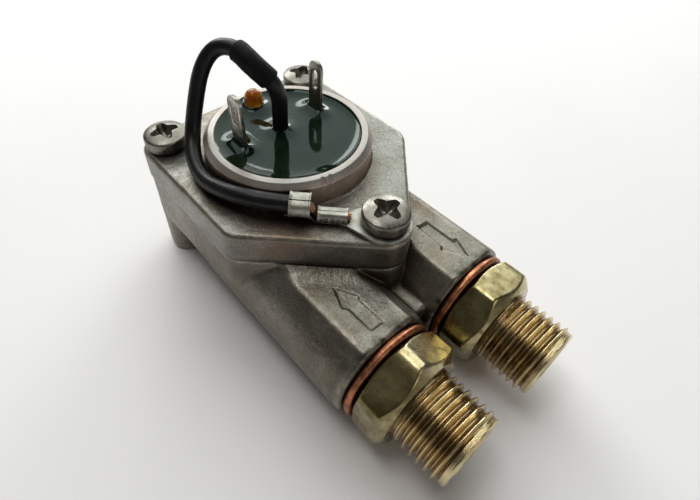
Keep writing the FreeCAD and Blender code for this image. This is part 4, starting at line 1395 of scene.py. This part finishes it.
# Finishes of the solids that stay as they are
RUBY = ((0.5, 0.03, 0.07), (0.36, 0.02, 0.05), 0.12, 0.4, 0.003)
INNER_PLASTICS = {
    "chamber_seal": ("seal_rubber", (0.02, 0.02, 0.02), (0.035, 0.034, 0.033), 0.6, 0.3, 0.01),
    "lower_jewel": ("lower_ruby", *RUBY),
    "upper_jewel": ("upper_ruby", *RUBY),
    "circuit_board": ("glass_board", (0.05, 0.2, 0.08), (0.08, 0.26, 0.1), 0.4, 0.4, 0.01),
    "hall_sensor": ("sensor_black", (0.02, 0.02, 0.022), (0.035, 0.035, 0.036), 0.55, 0.2, 0.01),
    "impeller_wheel": ("wheel_plastic", (0.72, 0.7, 0.64), (0.64, 0.61, 0.54), 0.42, 0.5, 0.01),
}


def inner_finishes():
    """Finishes for the pieces inside the case."""
    finishes = {node: plastic_finish(*look) for node, look in INNER_PLASTICS.items()}
    finishes["inlet_jet"] = thread_brass("jet_brass", JET_X)
    finishes["led_resistor"] = resistor_finish()
    finishes["led_leads"] = TINNED
    finishes["impeller_magnets"] = metal_finish(
        "sintered_magnet", (0.1, 0.1, 0.11), (0.06, 0.06, 0.06), 0.5, 2.0,
    )
    finishes["impeller_spindle"] = STEEL
    for node, finish in finishes.items():
        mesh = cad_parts[node].data
        mesh.materials.clear()
        mesh.materials.append(finish)


# Stage
CAMERA_PLACE = Vector((-41.916, -55.567, 82.41))
CAMERA_YAW = math.radians(42.369)
CAMERA_PITCH = math.radians(45.949)
CAMERA_ROLL = math.radians(1.674)
CAMERA_NEAR = 1.0
PHOTO_WIDTH = 700
PHOTO_HEIGHT = 500
FOCAL_PIXELS = 482.402
CENTRE_X = 322.734
CENTRE_Y = 208.969
SENSOR = 36.0
FLOOR_HALF = 2.5
ROOM_COLOUR = (1.0, 0.96, 0.9, 1)
ROOM_STRENGTH = 0.1

# Lamps in metres and watts: name, place, width, height, power and colour
LAMP_TARGET = Vector((0, -0.01, 0.02))
LAMPS = (
    ("key", (0.3, 0.33, 0.47), 0.95, 0.95, 5.0, (0.95, 1.0, 0.965)),
    ("overhead", (-0.1, 0.1, 0.6), 0.2, 0.2, 0.6, (1.0, 0.98, 0.95)),
    ("back_strip", (0.17, 0.52, 0.32), 0.36, 0.14, 1.1, (1.0, 0.99, 0.97)),
    ("front_fill", (0.05, -0.65, 0.3), 0.3, 0.3, 0.4, (1.0, 0.94, 0.87)),
    ("side_strip", (0.52, 0.3, 0.17), 0.2, 0.14, 0.7, (1.0, 0.99, 0.97)),
)


def camera():
    """The camera at the photograph's place."""
    data = put(
        bpy.data.cameras.new("camera"), sensor_width=SENSOR, lens=FOCAL_PIXELS * SENSOR / PHOTO_WIDTH,
        shift_x=(PHOTO_WIDTH / 2 - CENTRE_X) / PHOTO_WIDTH,
        shift_y=(CENTRE_Y - PHOTO_HEIGHT / 2) / PHOTO_WIDTH,
        clip_start=CAMERA_NEAR * MM,
    )
    flat = math.cos(CAMERA_PITCH)
    ahead = Vector((flat * math.sin(CAMERA_YAW), flat * math.cos(CAMERA_YAW), -math.sin(CAMERA_PITCH)))
    right = Vector((math.cos(CAMERA_YAW), -math.sin(CAMERA_YAW), 0))
    up = right.cross(ahead)
    cos = math.cos(CAMERA_ROLL)
    sin = math.sin(CAMERA_ROLL)
    axes = Matrix((right * cos + up * sin, up * cos - right * sin, -ahead)).transposed()
    ob = linked("camera", data)
    ob.matrix_world = Matrix.Translation(CAMERA_PLACE * MM) @ axes.to_4x4()
    bpy.context.scene.camera = ob


def floor():
    """A pale, faintly clouded floor."""
    square = [(x * FLOOR_HALF, y * FLOOR_HALF, 0) for x, y in ((-1, -1), (1, -1), (1, 1), (-1, 1))]
    mesh = bpy.data.meshes.new("floor")
    mesh.from_pydata(square, [], [(0, 1, 2, 3)])
    paper = Finish("pale_floor", (0.945, 0.925, 0.935), rough=0.9)
    paper.ground(paper.span(paper.noise(40.0), 0.3, 0.7), (0.935, 0.915, 0.925), (0.955, 0.935, 0.945))
    mesh.materials.append(paper.material)
    linked("floor", mesh)


def lighting():
    """A soft key from behind on the right, four smaller lamps that face the object too, and a dim room."""
    for name, place, width, height, power, colour in LAMPS:
        light = bpy.data.lights.new(name, "AREA")
        put(light, shape="RECTANGLE", size=width, size_y=height, energy=power, color=colour)
        facing = (LAMP_TARGET - Vector(place)).to_track_quat("-Z", "Y").to_euler()
        put(linked(name, light), location=place, rotation_euler=facing)
    world = put(bpy.data.worlds.new("room"), use_nodes=True)
    air = world.node_tree.nodes["Background"].inputs
    air["Color"].default_value = ROOM_COLOUR
    air["Strength"].default_value = ROOM_STRENGTH
    bpy.context.scene.world = world
    bpy.context.scene.view_settings.view_transform = "Standard"


camera()
earth_wire()
casting()
cover()
for index, (screw_x, screw_y, rise, cross) in enumerate(SCREWS):
    spring_washer("spring_washer_%d" % index, screw_x, screw_y, COVER_TOP + rise)
    screw("cover_screw_%d" % index, screw_x, screw_y, COVER_TOP + rise + SPRING_THICKNESS, cross)
for port, hex_turn in PORTS:
    washer_low, washer_high = corners(port + "_washer")
    port_x = (washer_low.x + washer_high.x) / 2
    fitting(port, port_x, hex_turn)
    copper_washer(port, port_x)
tag("left", lean=-0.03, twist=0.05, filled=True)
tag("right", lean=0.0, twist=0.0, filled=False)
lamp()
resin()
lug_plate()
lug_tongue()
crimp("lug_barrel", BARREL, BARREL_RADIUS, 0.0, BARREL_RIBS)
crimp("lug_grip", GRIP, GRIP_RADIUS, GRIP_ROLL, 0)
strands()
inner_finishes()
floor()
lighting()
